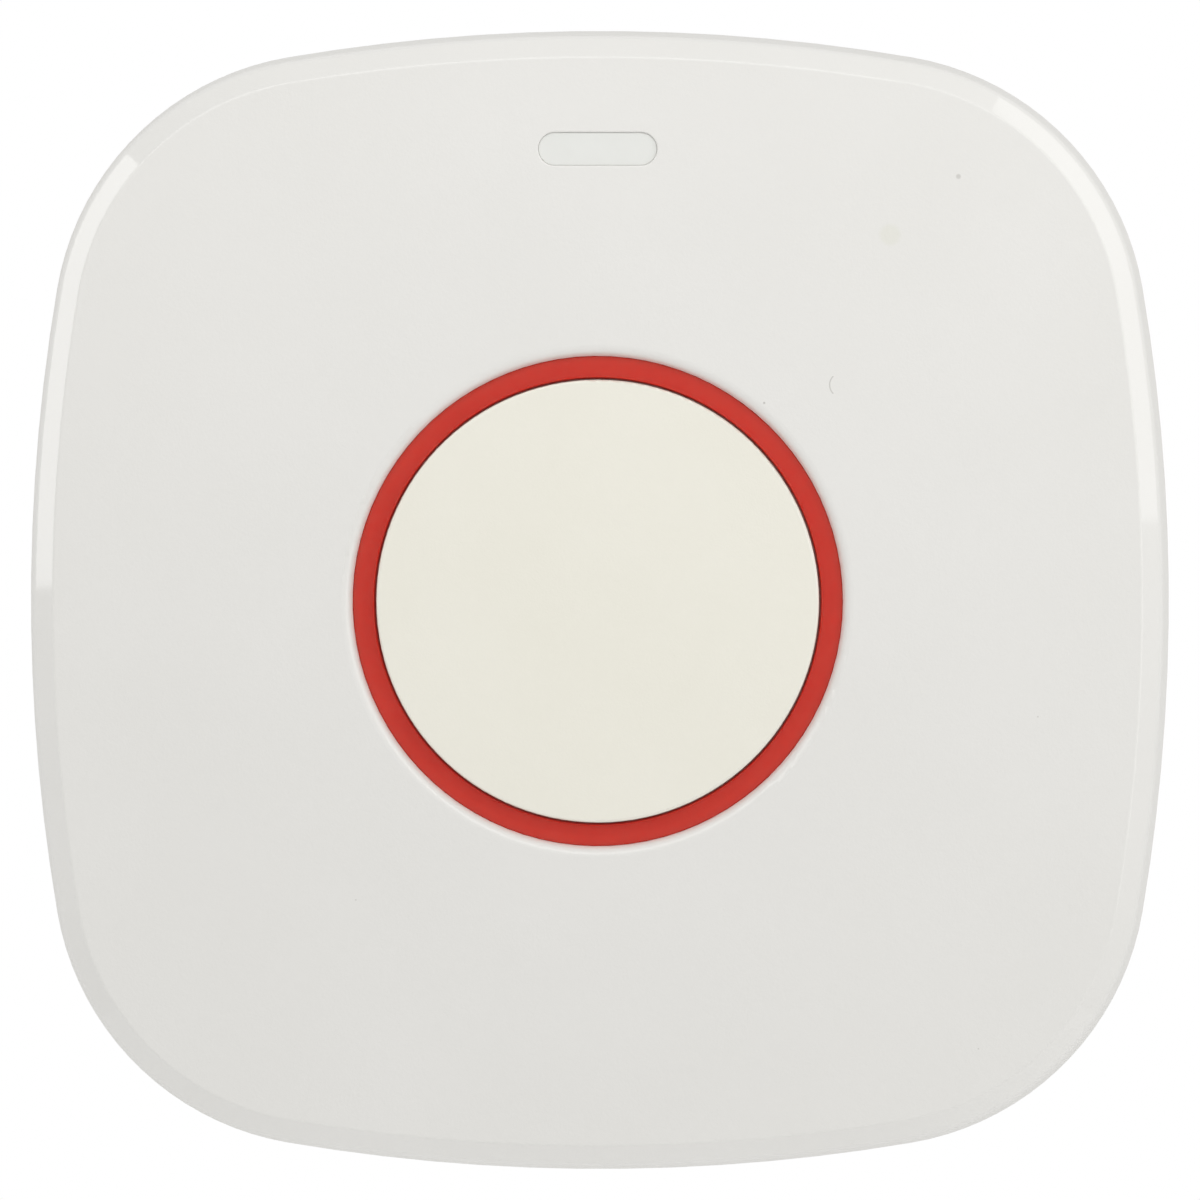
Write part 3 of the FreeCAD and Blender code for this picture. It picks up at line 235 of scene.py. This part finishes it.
def split_place(tree, place):
    """Parts of a position, and the same position brought onto the plane of the face."""
    parts = tree.node("ShaderNodeSeparateXYZ", {0: place}).outputs
    flat = tree.node("ShaderNodeCombineXYZ", {"X": parts["X"], "Z": parts["Z"]}).outputs[0]
    return parts, flat


def facing(tree, axis):
    """How far the surface looks along an axis, 0 to 1, whichever way."""
    normal = tree.node("ShaderNodeNewGeometry").outputs["Normal"]
    part = tree.node("ShaderNodeSeparateXYZ", {0: normal}).outputs[axis]
    return tree.math("ABSOLUTE", part)


# Marks of use on the housing's face, in millimetres. A speck is x, z, radius, depth of tone.
# The smudge is x, z, radius. The fibre is x, z, reach, radius of its bend.
SPECKS = [
    (25.21, 29.67, 0.19, 0.3), (11.64, 13.85, 0.09, 0.42), (-16.9, -20.88, 0.06, 0.3),
    (30.76, -8.08, 0.06, 0.3), (26.61, -31.28, 0.06, 0.3), (-31.3, 32.3, 0.05, 0.25),
]
SMUDGE = (20.43, 25.59, 0.84)
FIBRE = (16.21, 15.11, 0.66, 0.85)


def face_marks(tree, place):
    """Specks, one smudge and one short bent fibre that lie on the face of the housing.

    A speck is a round spot whose tone falls off at its rim. The fibre is the part of a small
    ring that lies within its reach of one point of that ring.
    """
    parts, flat = split_place(tree, place)

    def away(x, z):
        made = tree.node("ShaderNodeVectorMath", {0: flat, 1: (x * MM, 0.0, z * MM)},
                         operation="DISTANCE")
        return made.outputs["Value"]

    dark = None
    for x, z, radius, tone in SPECKS:
        spot = tree.ramp(away(x, z), radius * MM * 0.6, radius * MM * 1.15, tone, 0.0)
        dark = spot if dark is None else tree.math("MAXIMUM", dark, spot)
    x, z, reach, bend = FIBRE
    off_ring = tree.math("ABSOLUTE", tree.math("SUBTRACT", away(x + bend, z), bend * MM))
    line = tree.ramp(off_ring, 0.02 * MM, 0.06 * MM, 0.36, 0.0)
    end = tree.math("LESS_THAN", away(x, z), reach * MM)
    dark = tree.math("MAXIMUM", dark, tree.math("MULTIPLY", line, end))
    in_front = tree.math("LESS_THAN", parts["Y"], FACE + 0.3 * MM)
    dark = tree.math("MULTIPLY", dark, in_front)
    x, z, radius = SMUDGE
    smudge = tree.ramp(away(x, z), radius * MM * 0.6, radius * MM * 1.1, 1.0, 0.0, smooth=True)
    return dark, tree.math("MULTIPLY", smudge, in_front)


def make_housing_white():
    """Satin white moulding with faint mottle, sparse dust and a few marks.

    What faces forwards or slopes by the bevel's half right angle has a smooth skin. The drafted
    side walls are duller, so the skin fades out where the normal's part along y is small.
    """
    material, tree, surface = new_finish(
        "housing_white", IOR=1.46, Specular_IOR_Level=0.4, Coat_Roughness=0.045, Coat_IOR=1.45,
    )
    place = tree.place()
    grain = use_group(tree, moulded_grain, Place=place, Grains=5200.0, Patches=60.0)
    dust = use_group(tree, settled_dust, Place=place, Cells=420.0, Share=0.035, Size=0.03)
    colour = tree.blend(grain["Mottle"], opaque((0.775, 0.765, 0.732)),
                        opaque((0.79, 0.78, 0.749)))
    colour = tree.blend(tree.math("MULTIPLY", dust["Mask"], 0.25), colour,
                        opaque((0.45, 0.43, 0.38)))
    dark, smudge = face_marks(tree, place)
    colour = tree.blend(tree.math("MULTIPLY", smudge, 0.15), colour, opaque((0.6, 0.62, 0.4)))
    colour = tree.blend(dark, colour, opaque((0.2, 0.18, 0.15)))
    polished = tree.ramp(facing(tree, "Y"), 0.2, 0.5, smooth=True)
    tree.feed(surface.inputs["Base Color"], colour)
    tree.feed(surface.inputs["Coat Weight"], polished)
    rough = tree.ramp(grain["Mottle"], 0.0, 1.0, 0.4, 0.46)
    tree.feed(surface.inputs["Roughness"],
              tree.math("ADD", rough, tree.ramp(polished, 0.0, 1.0, 0.25, 0.0)))
    bump(tree, surface, grain["Height"], 0.012 * MM)
    return material


def make_button_cream():
    """Warm white moulding of the button, a little smoother than the housing."""
    material, tree, surface = new_finish(
        "button_cream", IOR=1.46, Coat_Weight=0.6, Coat_Roughness=0.06, Coat_IOR=1.45,
    )
    place = tree.place()
    grain = use_group(tree, moulded_grain, Place=place, Grains=6400.0, Patches=110.0)
    dust = use_group(tree, settled_dust, Place=place, Cells=520.0, Share=0.03, Size=0.03)
    colour = tree.blend(grain["Mottle"], opaque((0.826, 0.806, 0.71)),
                        opaque((0.842, 0.822, 0.73)))
    colour = tree.blend(tree.math("MULTIPLY", dust["Mask"], 0.2), colour,
                        opaque((0.5, 0.46, 0.36)))
    tree.feed(surface.inputs["Base Color"], colour)
    tree.feed(surface.inputs["Roughness"], tree.ramp(grain["Mottle"], 0.0, 1.0, 0.38, 0.44))
    bump(tree, surface, grain["Height"], 0.01 * MM)
    return material


def make_ring_red():
    """Deep red moulding of the ring with a soft gloss, which lets some light through.

    The wall of the bore and the outer rim give off a dim red. This is painted light: it stands
    for the light the ring carries to where the button and the housing shade it, and the ring is
    no lamp. In the bore this painted glow fades with the depth below the ring's face.
    """
    material, tree, surface = new_finish(
        "ring_red", IOR=1.46, Specular_IOR_Level=0.3,
        Subsurface_Weight=1.0, Subsurface_Radius=(1.0, 0.12, 0.08), Subsurface_Scale=2.2 * MM,
        Emission_Strength=1.0,
    )
    place = tree.place()
    parts, flat = split_place(tree, place)
    reach = tree.node("ShaderNodeVectorMath", {0: flat}, operation="LENGTH").outputs["Value"]
    bore = tree.ramp(reach, RING_BORE + 0.02 * MM, RING_BORE + 0.05 * MM, 1.0, 0.0)
    depth = tree.ramp(parts["Y"], RING_FACE, RING_FACE + 2.5 * MM, 1.0, 0.35)
    rim = tree.ramp(reach, RING_RIM - 0.8 * MM, RING_RIM, 0.0, 0.5)
    # Painted light: the bore and rim masks choose where the ring gets its painted red glow.
    share = tree.math("MAXIMUM", tree.math("MULTIPLY", bore, depth), rim)
    painted_glow = tree.blend(share, BLACK, opaque((0.125, 0.013, 0.01)))
    tree.feed(surface.inputs["Emission Color"], painted_glow)
    grain = use_group(tree, moulded_grain, Place=place, Grains=7000.0, Patches=240.0)
    dust = use_group(tree, settled_dust, Place=place, Cells=900.0, Share=0.05, Size=0.05)
    colour = tree.blend(grain["Mottle"], opaque((0.64, 0.036, 0.019)),
                        opaque((0.68, 0.042, 0.023)))
    colour = tree.blend(tree.math("MULTIPLY", dust["Mask"], 0.35), colour,
                        opaque((0.7, 0.45, 0.4)))
    tree.feed(surface.inputs["Base Color"], colour)
    tree.feed(surface.inputs["Roughness"], tree.ramp(grain["Mottle"], 0.0, 1.0, 0.34, 0.42))
    bump(tree, surface, grain["Height"], 0.008 * MM)
    return material


def make_lens_milky():
    """Milky diffusing lens of the status window, smooth on its face."""
    material, tree, surface = new_finish(
        "lens_milky", IOR=1.49, Coat_Weight=0.5, Coat_Roughness=0.05,
    )
    place = tree.place()
    grain = use_group(tree, moulded_grain, Place=place, Grains=9000.0, Patches=320.0)
    colour = tree.blend(grain["Mottle"], opaque((0.765, 0.77, 0.737)),
                        opaque((0.785, 0.79, 0.757)))
    tree.feed(surface.inputs["Base Color"], colour)
    tree.feed(surface.inputs["Roughness"], tree.ramp(grain["Mottle"], 0.0, 1.0, 0.26, 0.34))
    bump(tree, surface, grain["Height"], 0.004 * MM)
    return material


def make_metal(name, low, high, streaks, rough, depth, patches=300.0):
    """Bare or plated metal whose tone runs between two colours, streaked along its working."""
    material, tree, surface = new_finish(name, Metallic=1.0)
    place = tree.place()
    metal = use_group(tree, worked_metal, Place=place, Streaks=streaks, Patches=patches)
    grain = use_group(tree, moulded_grain, Place=place, Grains=8000.0, Patches=700.0)
    colour = tree.blend(metal["Tint"], opaque(low), opaque(high))
    colour = tree.blend(tree.math("MULTIPLY", metal["Streaks"], 0.18), colour,
                        opaque([part * 0.62 for part in low]))
    tree.feed(surface.inputs["Base Color"], colour)
    worn = tree.math("ADD", tree.math("MULTIPLY", metal["Streaks"], 0.6),
                     tree.math("MULTIPLY", grain["Mottle"], 0.4))
    tree.feed(surface.inputs["Roughness"], tree.ramp(worn, 0.0, 1.0, rough[0], rough[1]))
    bump(tree, surface, metal["Height"], depth * MM)
    return material


def make_moulding(name, low, high, rough, depth, patches=400.0):
    """Plain technical moulding with its grain and a little dust in it."""
    material, tree, surface = new_finish(name, IOR=1.5)
    place = tree.place()
    grain = use_group(tree, moulded_grain, Place=place, Grains=9000.0, Patches=patches)
    dust = use_group(tree, settled_dust, Place=place, Cells=1500.0, Share=0.06, Size=0.1)
    colour = tree.blend(grain["Mottle"], opaque(low), opaque(high))
    colour = tree.blend(tree.math("MULTIPLY", dust["Mask"], 0.3), colour,
                        opaque((0.4, 0.38, 0.35)))
    tree.feed(surface.inputs["Base Color"], colour)
    tree.feed(surface.inputs["Roughness"],
              tree.ramp(grain["Mottle"], 0.0, 1.0, rough[0], rough[1]))
    bump(tree, surface, grain["Height"], depth * MM)
    return material


def make_board_laminate():
    """Circuit board: green lacquer over a copper plane and fine tracks, bare glass at its rim.

    Tracks are narrow paler bands along the borders of cells, and the spots of bare metal are the
    middles of smaller cells. The rim is where the surface looks sideways, so the normal's part
    along y is small.
    """
    material, tree, surface = new_finish("board_laminate", IOR=1.5, Coat_Weight=0.5,
                                         Coat_Roughness=0.12)
    place = tree.place()
    grain = use_group(tree, moulded_grain, Place=place, Grains=3000.0, Patches=260.0)
    parts = tree.node("ShaderNodeSeparateXYZ", {0: place}).outputs
    flat = tree.node("ShaderNodeCombineXYZ", {"X": parts["X"], "Y": parts["Z"]}).outputs[0]
    tracks = tree.node(
        "ShaderNodeTexVoronoi", {"Vector": flat, "Scale": 190.0, "Randomness": 0.75},
        feature="DISTANCE_TO_EDGE", voronoi_dimensions="2D",
    )
    track = tree.ramp(tracks.outputs["Distance"], 0.03, 0.05, 1.0, 0.0)
    holes = tree.node(
        "ShaderNodeTexVoronoi", {"Vector": flat, "Scale": 260.0, "Randomness": 0.8},
        feature="F1", voronoi_dimensions="2D",
    )
    spot = tree.ramp(holes.outputs["Distance"], 0.07, 0.085, 1.0, 0.0)
    colour = tree.blend(grain["Mottle"], opaque((0.012, 0.115, 0.05)),
                        opaque((0.018, 0.15, 0.065)))
    colour = tree.blend(tree.math("MULTIPLY", track, 0.55), colour, opaque((0.05, 0.26, 0.1)))
    colour = tree.blend(spot, colour, opaque((0.62, 0.6, 0.56)))
    rim = tree.math("LESS_THAN", facing(tree, "Y"), 0.5)
    colour = tree.blend(rim, colour, opaque((0.42, 0.4, 0.2)))
    tree.feed(surface.inputs["Base Color"], colour)
    tree.feed(surface.inputs["Metallic"], tree.math("MULTIPLY", spot, 0.8))
    tree.feed(surface.inputs["Roughness"], tree.ramp(grain["Mottle"], 0.0, 1.0, 0.28, 0.4))
    relief = tree.math("ADD", tree.math("MULTIPLY", track, 0.7), grain["Height"])
    bump(tree, surface, relief, 0.02 * MM)
    return material


def make_lamp_package():
    """White lamp package whose round filling, below its rim, is a clear yellowish gel."""
    material, tree, surface = new_finish("lamp_package", IOR=1.5, Coat_Weight=0.4,
                                         Coat_Roughness=0.05)
    place = tree.place()
    low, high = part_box("status_led")
    middle = ((low[0] + high[0]) / 2, 0.0, (low[2] + high[2]) / 2)
    flat = split_place(tree, place)[1]
    away = tree.node("ShaderNodeVectorMath", {0: flat, 1: middle}, operation="DISTANCE")
    gel = tree.ramp(away.outputs["Value"], 1.02 * MM, 1.12 * MM, 1.0, 0.0)
    chip = tree.ramp(away.outputs["Value"], 0.18 * MM, 0.24 * MM, 1.0, 0.0)
    grain = use_group(tree, moulded_grain, Place=place, Grains=9000.0, Patches=900.0)
    colour = tree.blend(grain["Mottle"], opaque((0.8, 0.8, 0.77)), opaque((0.86, 0.86, 0.83)))
    colour = tree.blend(gel, colour, opaque((0.8, 0.66, 0.2)))
    colour = tree.blend(chip, colour, opaque((0.25, 0.3, 0.38)))
    tree.feed(surface.inputs["Base Color"], colour)
    tree.feed(surface.inputs["Roughness"], tree.ramp(gel, 0.0, 1.0, 0.45, 0.15))
    bump(tree, surface, grain["Height"], 0.004 * MM)
    return material


def make_chip_ceramic():
    """Small parts: ceramic middle between two tinned ends, told apart along x."""
    material, tree, surface = new_finish("chip_ceramic", IOR=1.5)
    place = tree.place()
    grain = use_group(tree, moulded_grain, Place=place, Grains=9000.0, Patches=1400.0)
    lots = tree.node("ShaderNodeTexVoronoi", {"Vector": place, "Scale": 350.0}, feature="F1")
    lot = tree.node("ShaderNodeSeparateColor", {"Color": lots.outputs["Color"]}).outputs[0]
    dark = tree.math("GREATER_THAN", lot, 0.5)
    body = tree.blend(dark, opaque((0.34, 0.24, 0.14)), opaque((0.05, 0.05, 0.055)))
    body = tree.blend(tree.math("MULTIPLY", grain["Mottle"], 0.3), body,
                      opaque((0.5, 0.42, 0.32)))
    end = tree.math("GREATER_THAN", facing(tree, "X"), 0.5)
    tree.feed(surface.inputs["Base Color"], tree.blend(end, body, opaque((0.66, 0.66, 0.66))))
    tree.feed(surface.inputs["Metallic"], end)
    tree.feed(surface.inputs["Roughness"], tree.ramp(grain["Mottle"], 0.0, 1.0, 0.35, 0.55))
    bump(tree, surface, grain["Height"], 0.006 * MM)
    return material


def make_cell_sleeve():
    """Lithium cell: plain pale sleeve round the can, bare rolled steel at its two ends.

    The ends are where the surface lies beyond the sleeve along x or looks along x.
    """
    material, tree, surface = new_finish("cell_sleeve", IOR=1.5, Coat_Weight=0.3,
                                         Coat_Roughness=0.12)
    place = tree.place()
    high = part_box("battery_cell")[1]
    parts = tree.node("ShaderNodeSeparateXYZ", {0: place}).outputs
    past_sleeve = tree.math("GREATER_THAN", parts["X"], high[0] - 1.25 * MM)
    flat_end = tree.math("GREATER_THAN", facing(tree, "X"), 0.8)
    bare = tree.math("MAXIMUM", past_sleeve, flat_end)
    metal = use_group(tree, worked_metal, Place=place, Streaks=(200.0, 3000.0, 3000.0),
                      Patches=200.0)
    grain = use_group(tree, moulded_grain, Place=place, Grains=5000.0, Patches=150.0)
    sleeve = tree.blend(grain["Mottle"], opaque((0.6, 0.62, 0.64)), opaque((0.68, 0.7, 0.72)))
    steel = tree.blend(metal["Tint"], opaque((0.56, 0.55, 0.53)), opaque((0.7, 0.69, 0.67)))
    tree.feed(surface.inputs["Base Color"], tree.blend(bare, sleeve, steel))
    tree.feed(surface.inputs["Metallic"], bare)
    tree.feed(surface.inputs["Roughness"], tree.ramp(metal["Streaks"], 0.0, 1.0, 0.24, 0.4))
    bump(tree, surface, tree.math("ADD", grain["Height"], metal["Height"]), 0.01 * MM)
    return material


ALONG_X = (300.0, 6000.0, 6000.0)
ALONG_Z = (6000.0, 6000.0, 300.0)
finishes = {
    "housing_white": make_housing_white(),
    "ring_red": make_ring_red(),
    "button_cream": make_button_cream(),
    "lens_milky": make_lens_milky(),
    "spring_steel": make_metal("spring_steel", (0.5, 0.5, 0.52), (0.64, 0.64, 0.66),
                               (2500.0, 2500.0, 2500.0), (0.22, 0.36), 0.004),
    "board_laminate": make_board_laminate(),
    "moulding_black": make_moulding("moulding_black", (0.018, 0.018, 0.02),
                                    (0.032, 0.032, 0.035), (0.42, 0.55), 0.008),
    "lamp_package": make_lamp_package(),
    "tinned_steel": make_metal("tinned_steel", (0.62, 0.62, 0.63), (0.74, 0.74, 0.75),
                               ALONG_X, (0.25, 0.42), 0.004),
    "tinned_copper": make_metal("tinned_copper", (0.6, 0.47, 0.34), (0.72, 0.66, 0.58),
                                ALONG_Z, (0.22, 0.38), 0.003, patches=900.0),
    "capacitor_can": make_metal("capacitor_can", (0.66, 0.67, 0.69), (0.78, 0.79, 0.8),
                                (6000.0, 300.0, 6000.0), (0.2, 0.34), 0.003),
    "chip_ceramic": make_chip_ceramic(),
    "cell_sleeve": make_cell_sleeve(),
    "contact_nickel": make_metal("contact_nickel", (0.6, 0.58, 0.53), (0.72, 0.7, 0.65),
                                 ALONG_X, (0.2, 0.34), 0.003),
    "plunger_grey": make_moulding("plunger_grey", (0.5, 0.5, 0.49), (0.55, 0.55, 0.54),
                                  (0.38, 0.48), 0.006, 500.0),
    "screw_zinc": make_metal("screw_zinc", (0.58, 0.6, 0.64), (0.72, 0.73, 0.74),
                             (3000.0, 3000.0, 3000.0), (0.24, 0.4), 0.004, patches=800.0),
}


def dress_nodes():
    """Every CAD node takes the finish of its slot in the record."""
    for entry in frame["record"]["subparts"]:
        thing = frame["nodes"][entry["node"]]
        finish = finishes[entry["material_slot"]]
        if thing.data.materials:
            for number in range(len(thing.data.materials)):
                thing.data.materials[number] = finish
        else:
            thing.data.materials.append(finish)


# Springs

def mesh_from_grid(name, points, finish):
    """A tube mesh from an array of rings, shaped (ring, point on ring, 3).

    Neighbouring rings are joined by four-sided faces and each end gets one cap.
    """
    rings, around = points.shape[:2]
    index = np.arange(rings * around).reshape(rings, around)
    following = np.roll(index, -1, axis=1)
    quads = np.stack(
        [index[:-1], following[:-1], following[1:], index[1:]], axis=-1
    ).reshape(-1, 4)
    faces = [tuple(quad) for quad in quads.tolist()]
    faces += [tuple(index[0, ::-1].tolist()), tuple(index[-1].tolist())]
    mesh = bpy.data.meshes.new(name)
    mesh.from_pydata(points.reshape(-1, 3).tolist(), [], faces)
    mesh.materials.append(finish)
    mesh.shade_smooth()
    thing = bpy.data.objects.new(name, mesh)
    bpy.context.scene.collection.objects.link(thing)
    return thing


RETURN_WIRE = (6.4 * MM, 0.6 * MM, 5.0)      # mean radius, thickness of the wire, turns
TAMPER_WIRE = (2.1 * MM, 0.3 * MM, 5.0)
END_TURNS = 0.85                 # length of a spring's closed end, in turns
END_PITCH = 0.9                  # its rise in a turn, in wire thicknesses
PITCH_CHANGE = 14.0              # how sharply the pitch changes there
GROUND = 0.22                    # how deep the end is ground, in wire thicknesses
RINGS_IN_TURN = 48
POINTS_ON_RING = 14


def wound_spring(name, centre, winding, low, high):
    """A compression spring that stands along the y axis, its ends closed and ground flat.

    The wire's centre goes round with radius mean. It rises by a little less than the wire's
    thickness in a turn of each closed end and evenly in the free turns between, with the change
    of pitch smoothed. Each ring of the tube lies across the wire's own direction. Points near or
    past the two end planes are brought onto them, which is what grinding does.
    """
    mean, wire, turns = winding
    count = int(turns * RINGS_IN_TURN) + 1
    turn = np.linspace(0.0, turns, count)
    rise = high - low - wire
    end_slope = END_PITCH * wire
    free_slope = (rise - 2 * END_TURNS * end_slope) / (turns - 2 * END_TURNS)
    start = 1.0 / (1.0 + np.exp(-(turn - END_TURNS) * PITCH_CHANGE))
    stop = 1.0 / (1.0 + np.exp((turn - (turns - END_TURNS)) * PITCH_CHANGE))
    slope = end_slope + (free_slope - end_slope) * start * stop
    height = np.concatenate([[0.0], np.cumsum((slope[1:] + slope[:-1]) / 2 * np.diff(turn))])
    height = low + wire / 2 + height * (rise / height[-1])
    angle = turn * 2 * math.pi
    spine = np.stack([
        centre[0] + mean * np.cos(angle), -height, centre[1] + mean * np.sin(angle)
    ], axis=1)
    along = np.gradient(spine, axis=0)
    along /= np.linalg.norm(along, axis=1, keepdims=True)
    out = np.stack([np.cos(angle), np.zeros(count), np.sin(angle)], axis=1)
    side = np.cross(along, out)
    side /= np.linalg.norm(side, axis=1, keepdims=True)
    across = np.linspace(0.0, 2 * math.pi, POINTS_ON_RING, endpoint=False)
    ring = (
        out[:, None, :] * np.cos(across)[None, :, None]
        + side[:, None, :] * np.sin(across)[None, :, None]
    )
    points = spine[:, None, :] + ring * (wire / 2)
    trim = wire * GROUND
    points[..., 1] = np.where(points[..., 1] > -(low + trim), -low, points[..., 1])
    points[..., 1] = np.where(points[..., 1] < -(high - trim), -high, points[..., 1])
    return mesh_from_grid(name, points, finishes["spring_steel"])


def make_springs():
    """Wound coils in place of the two CAD springs, which are hidden."""
    low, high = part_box("return_spring")
    seat, top = -high[1], -low[1]
    coil = wound_spring("return_coil", (0.0, 0.0), RETURN_WIRE, seat, top)
    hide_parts("return_spring")
    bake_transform(coil)
    low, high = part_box("tamper_spring")
    x, z = (low[0] + high[0]) / 2, (low[2] + high[2]) / 2
    seat, top = -high[1], -low[1]
    coil = wound_spring("tamper_coil", (x, z), TAMPER_WIRE, seat, top)
    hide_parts("tamper_spring")
    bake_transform(coil)


# Stage, light and camera

def seen_rays(tree):
    """1 for a ray that comes from the camera or from a mirror or clear surface, otherwise 0."""
    path = tree.node("ShaderNodeLightPath").outputs
    seen = tree.math("MAXIMUM", path["Is Camera Ray"], path["Is Glossy Ray"])
    return tree.math("MAXIMUM", seen, path["Is Transmission Ray"])


def make_floor():
    """A pale plain floor below the object, out of the picture's own view.

    Views and reflections see it lighter than its own light makes it, with the object's shadow
    kept, and from below it is see-through.
    """
    mesh = bpy.data.meshes.new("studio_floor")
    corners = [(-1, -1), (1, -1), (1, 1), (-1, 1)]
    mesh.from_pydata([(x * FLOOR_REACH, y * FLOOR_REACH, FLOOR) for x, y in corners], [],
                     [(0, 1, 2, 3)])
    material, tree, surface = new_finish("studio_floor", Roughness=0.9, Specular_IOR_Level=0.1,
                                         Emission_Strength=1.0)
    grain = use_group(tree, moulded_grain, Place=tree.place(), Grains=900.0, Patches=4.0)
    tree.feed(surface.inputs["Base Color"],
              tree.blend(grain["Mottle"], opaque((0.86, 0.86, 0.86)), opaque((0.9, 0.9, 0.9))))
    seen = tree.math("MULTIPLY", seen_rays(tree), FLOOR_LIFT)
    tree.feed(surface.inputs["Emission Color"], tree.blend(seen, BLACK, WHITE))
    behind = tree.node("ShaderNodeNewGeometry").outputs["Backfacing"]
    tree.feed(surface.inputs["Alpha"], tree.math("SUBTRACT", 1.0, behind))
    mesh.materials.append(material)
    floor = bpy.data.objects.new("studio_floor", mesh)
    bpy.context.scene.collection.objects.link(floor)


def make_lamp(name, spot, aim, size, radiance):
    """A soft rectangular lamp of even radiance that looks from its spot to its aim.

    A rectangle of one watt per square metre has a radiance of one over pi. The lamp itself
    doesn't show in a view.
    """
    light = bpy.data.lights.new(name, "AREA")
    light.shape = "RECTANGLE"
    light.size, light.size_y = size
    light.energy = radiance * math.pi * size[0] * size[1]
    lamp = bpy.data.objects.new(name, light)
    lamp.location = spot
    lamp.rotation_euler = (Vector(aim) - Vector(spot)).to_track_quat("-Z", "Y").to_euler()
    lamp.visible_camera = False
    bpy.context.scene.collection.objects.link(lamp)


def make_light():
    """Grey room light that is seen as white, a key lamp near the top, and boxes at the sides.

    The low lamp looks straight up from the floor, so it fills the bevel along the bottom edge
    and lights nothing else that faces the picture.
    """
    world = bpy.data.worlds.new("studio")
    bpy.context.scene.world = world
    world.use_nodes = True
    world.node_tree.nodes.clear()
    tree = Tree(world.node_tree)
    strength = tree.ramp(seen_rays(tree), 0.0, 1.0, ROOM_LIGHT, 1.0)
    ground = tree.node("ShaderNodeBackground", {"Color": WHITE, "Strength": strength})
    tree.node("ShaderNodeOutputWorld", {"Surface": ground.outputs[0]})
    make_lamp("key_lamp", (0.0, -0.15, 0.1), (0.0, -0.02, 0.0), (0.3, 0.06), 1.75)
    make_lamp("low_lamp", (0.0, -0.022, -0.105), (0.0, -0.02, 0.0), (0.3, 0.034), 0.35)
    make_lamp("side_lamp", (0.21, -0.16, 0.04), (0.0, -0.02, 0.0), (0.12, 0.2), 1.15)
    make_lamp("left_box", (-0.9, -0.02, 0.393), (0.0, -0.02, 0.393), (0.12, 0.78), 2.8)
    make_lamp("right_box", (0.9, -0.02, 0.81), (0.0, -0.02, 0.81), (0.12, 1.54), 1.75)


def make_camera():
    """Almost square on, with the object's middle where the picture has it."""
    data = bpy.data.cameras.new("picture_camera")
    data.sensor_width = SENSOR
    data.sensor_fit = "HORIZONTAL"
    data.lens = SENSOR * (SEAM - CAMERA[1]) / PICTURE_WIDTH
    data.clip_start = 0.05
    data.clip_end = 12.0
    camera = bpy.data.objects.new("picture_camera", data)
    aim = Vector((AIM_PIXELS * PICTURE_WIDTH / PICTURE_PIXELS, SEAM, 0.0))
    camera.location = CAMERA
    camera.rotation_euler = (aim - Vector(CAMERA)).to_track_quat("-Z", "Y").to_euler()
    bpy.context.scene.collection.objects.link(camera)
    bpy.context.scene.camera = camera


dress_nodes()
make_springs()
make_floor()
make_light()
make_camera()
bpy.context.scene.view_settings.view_transform = "Standard"
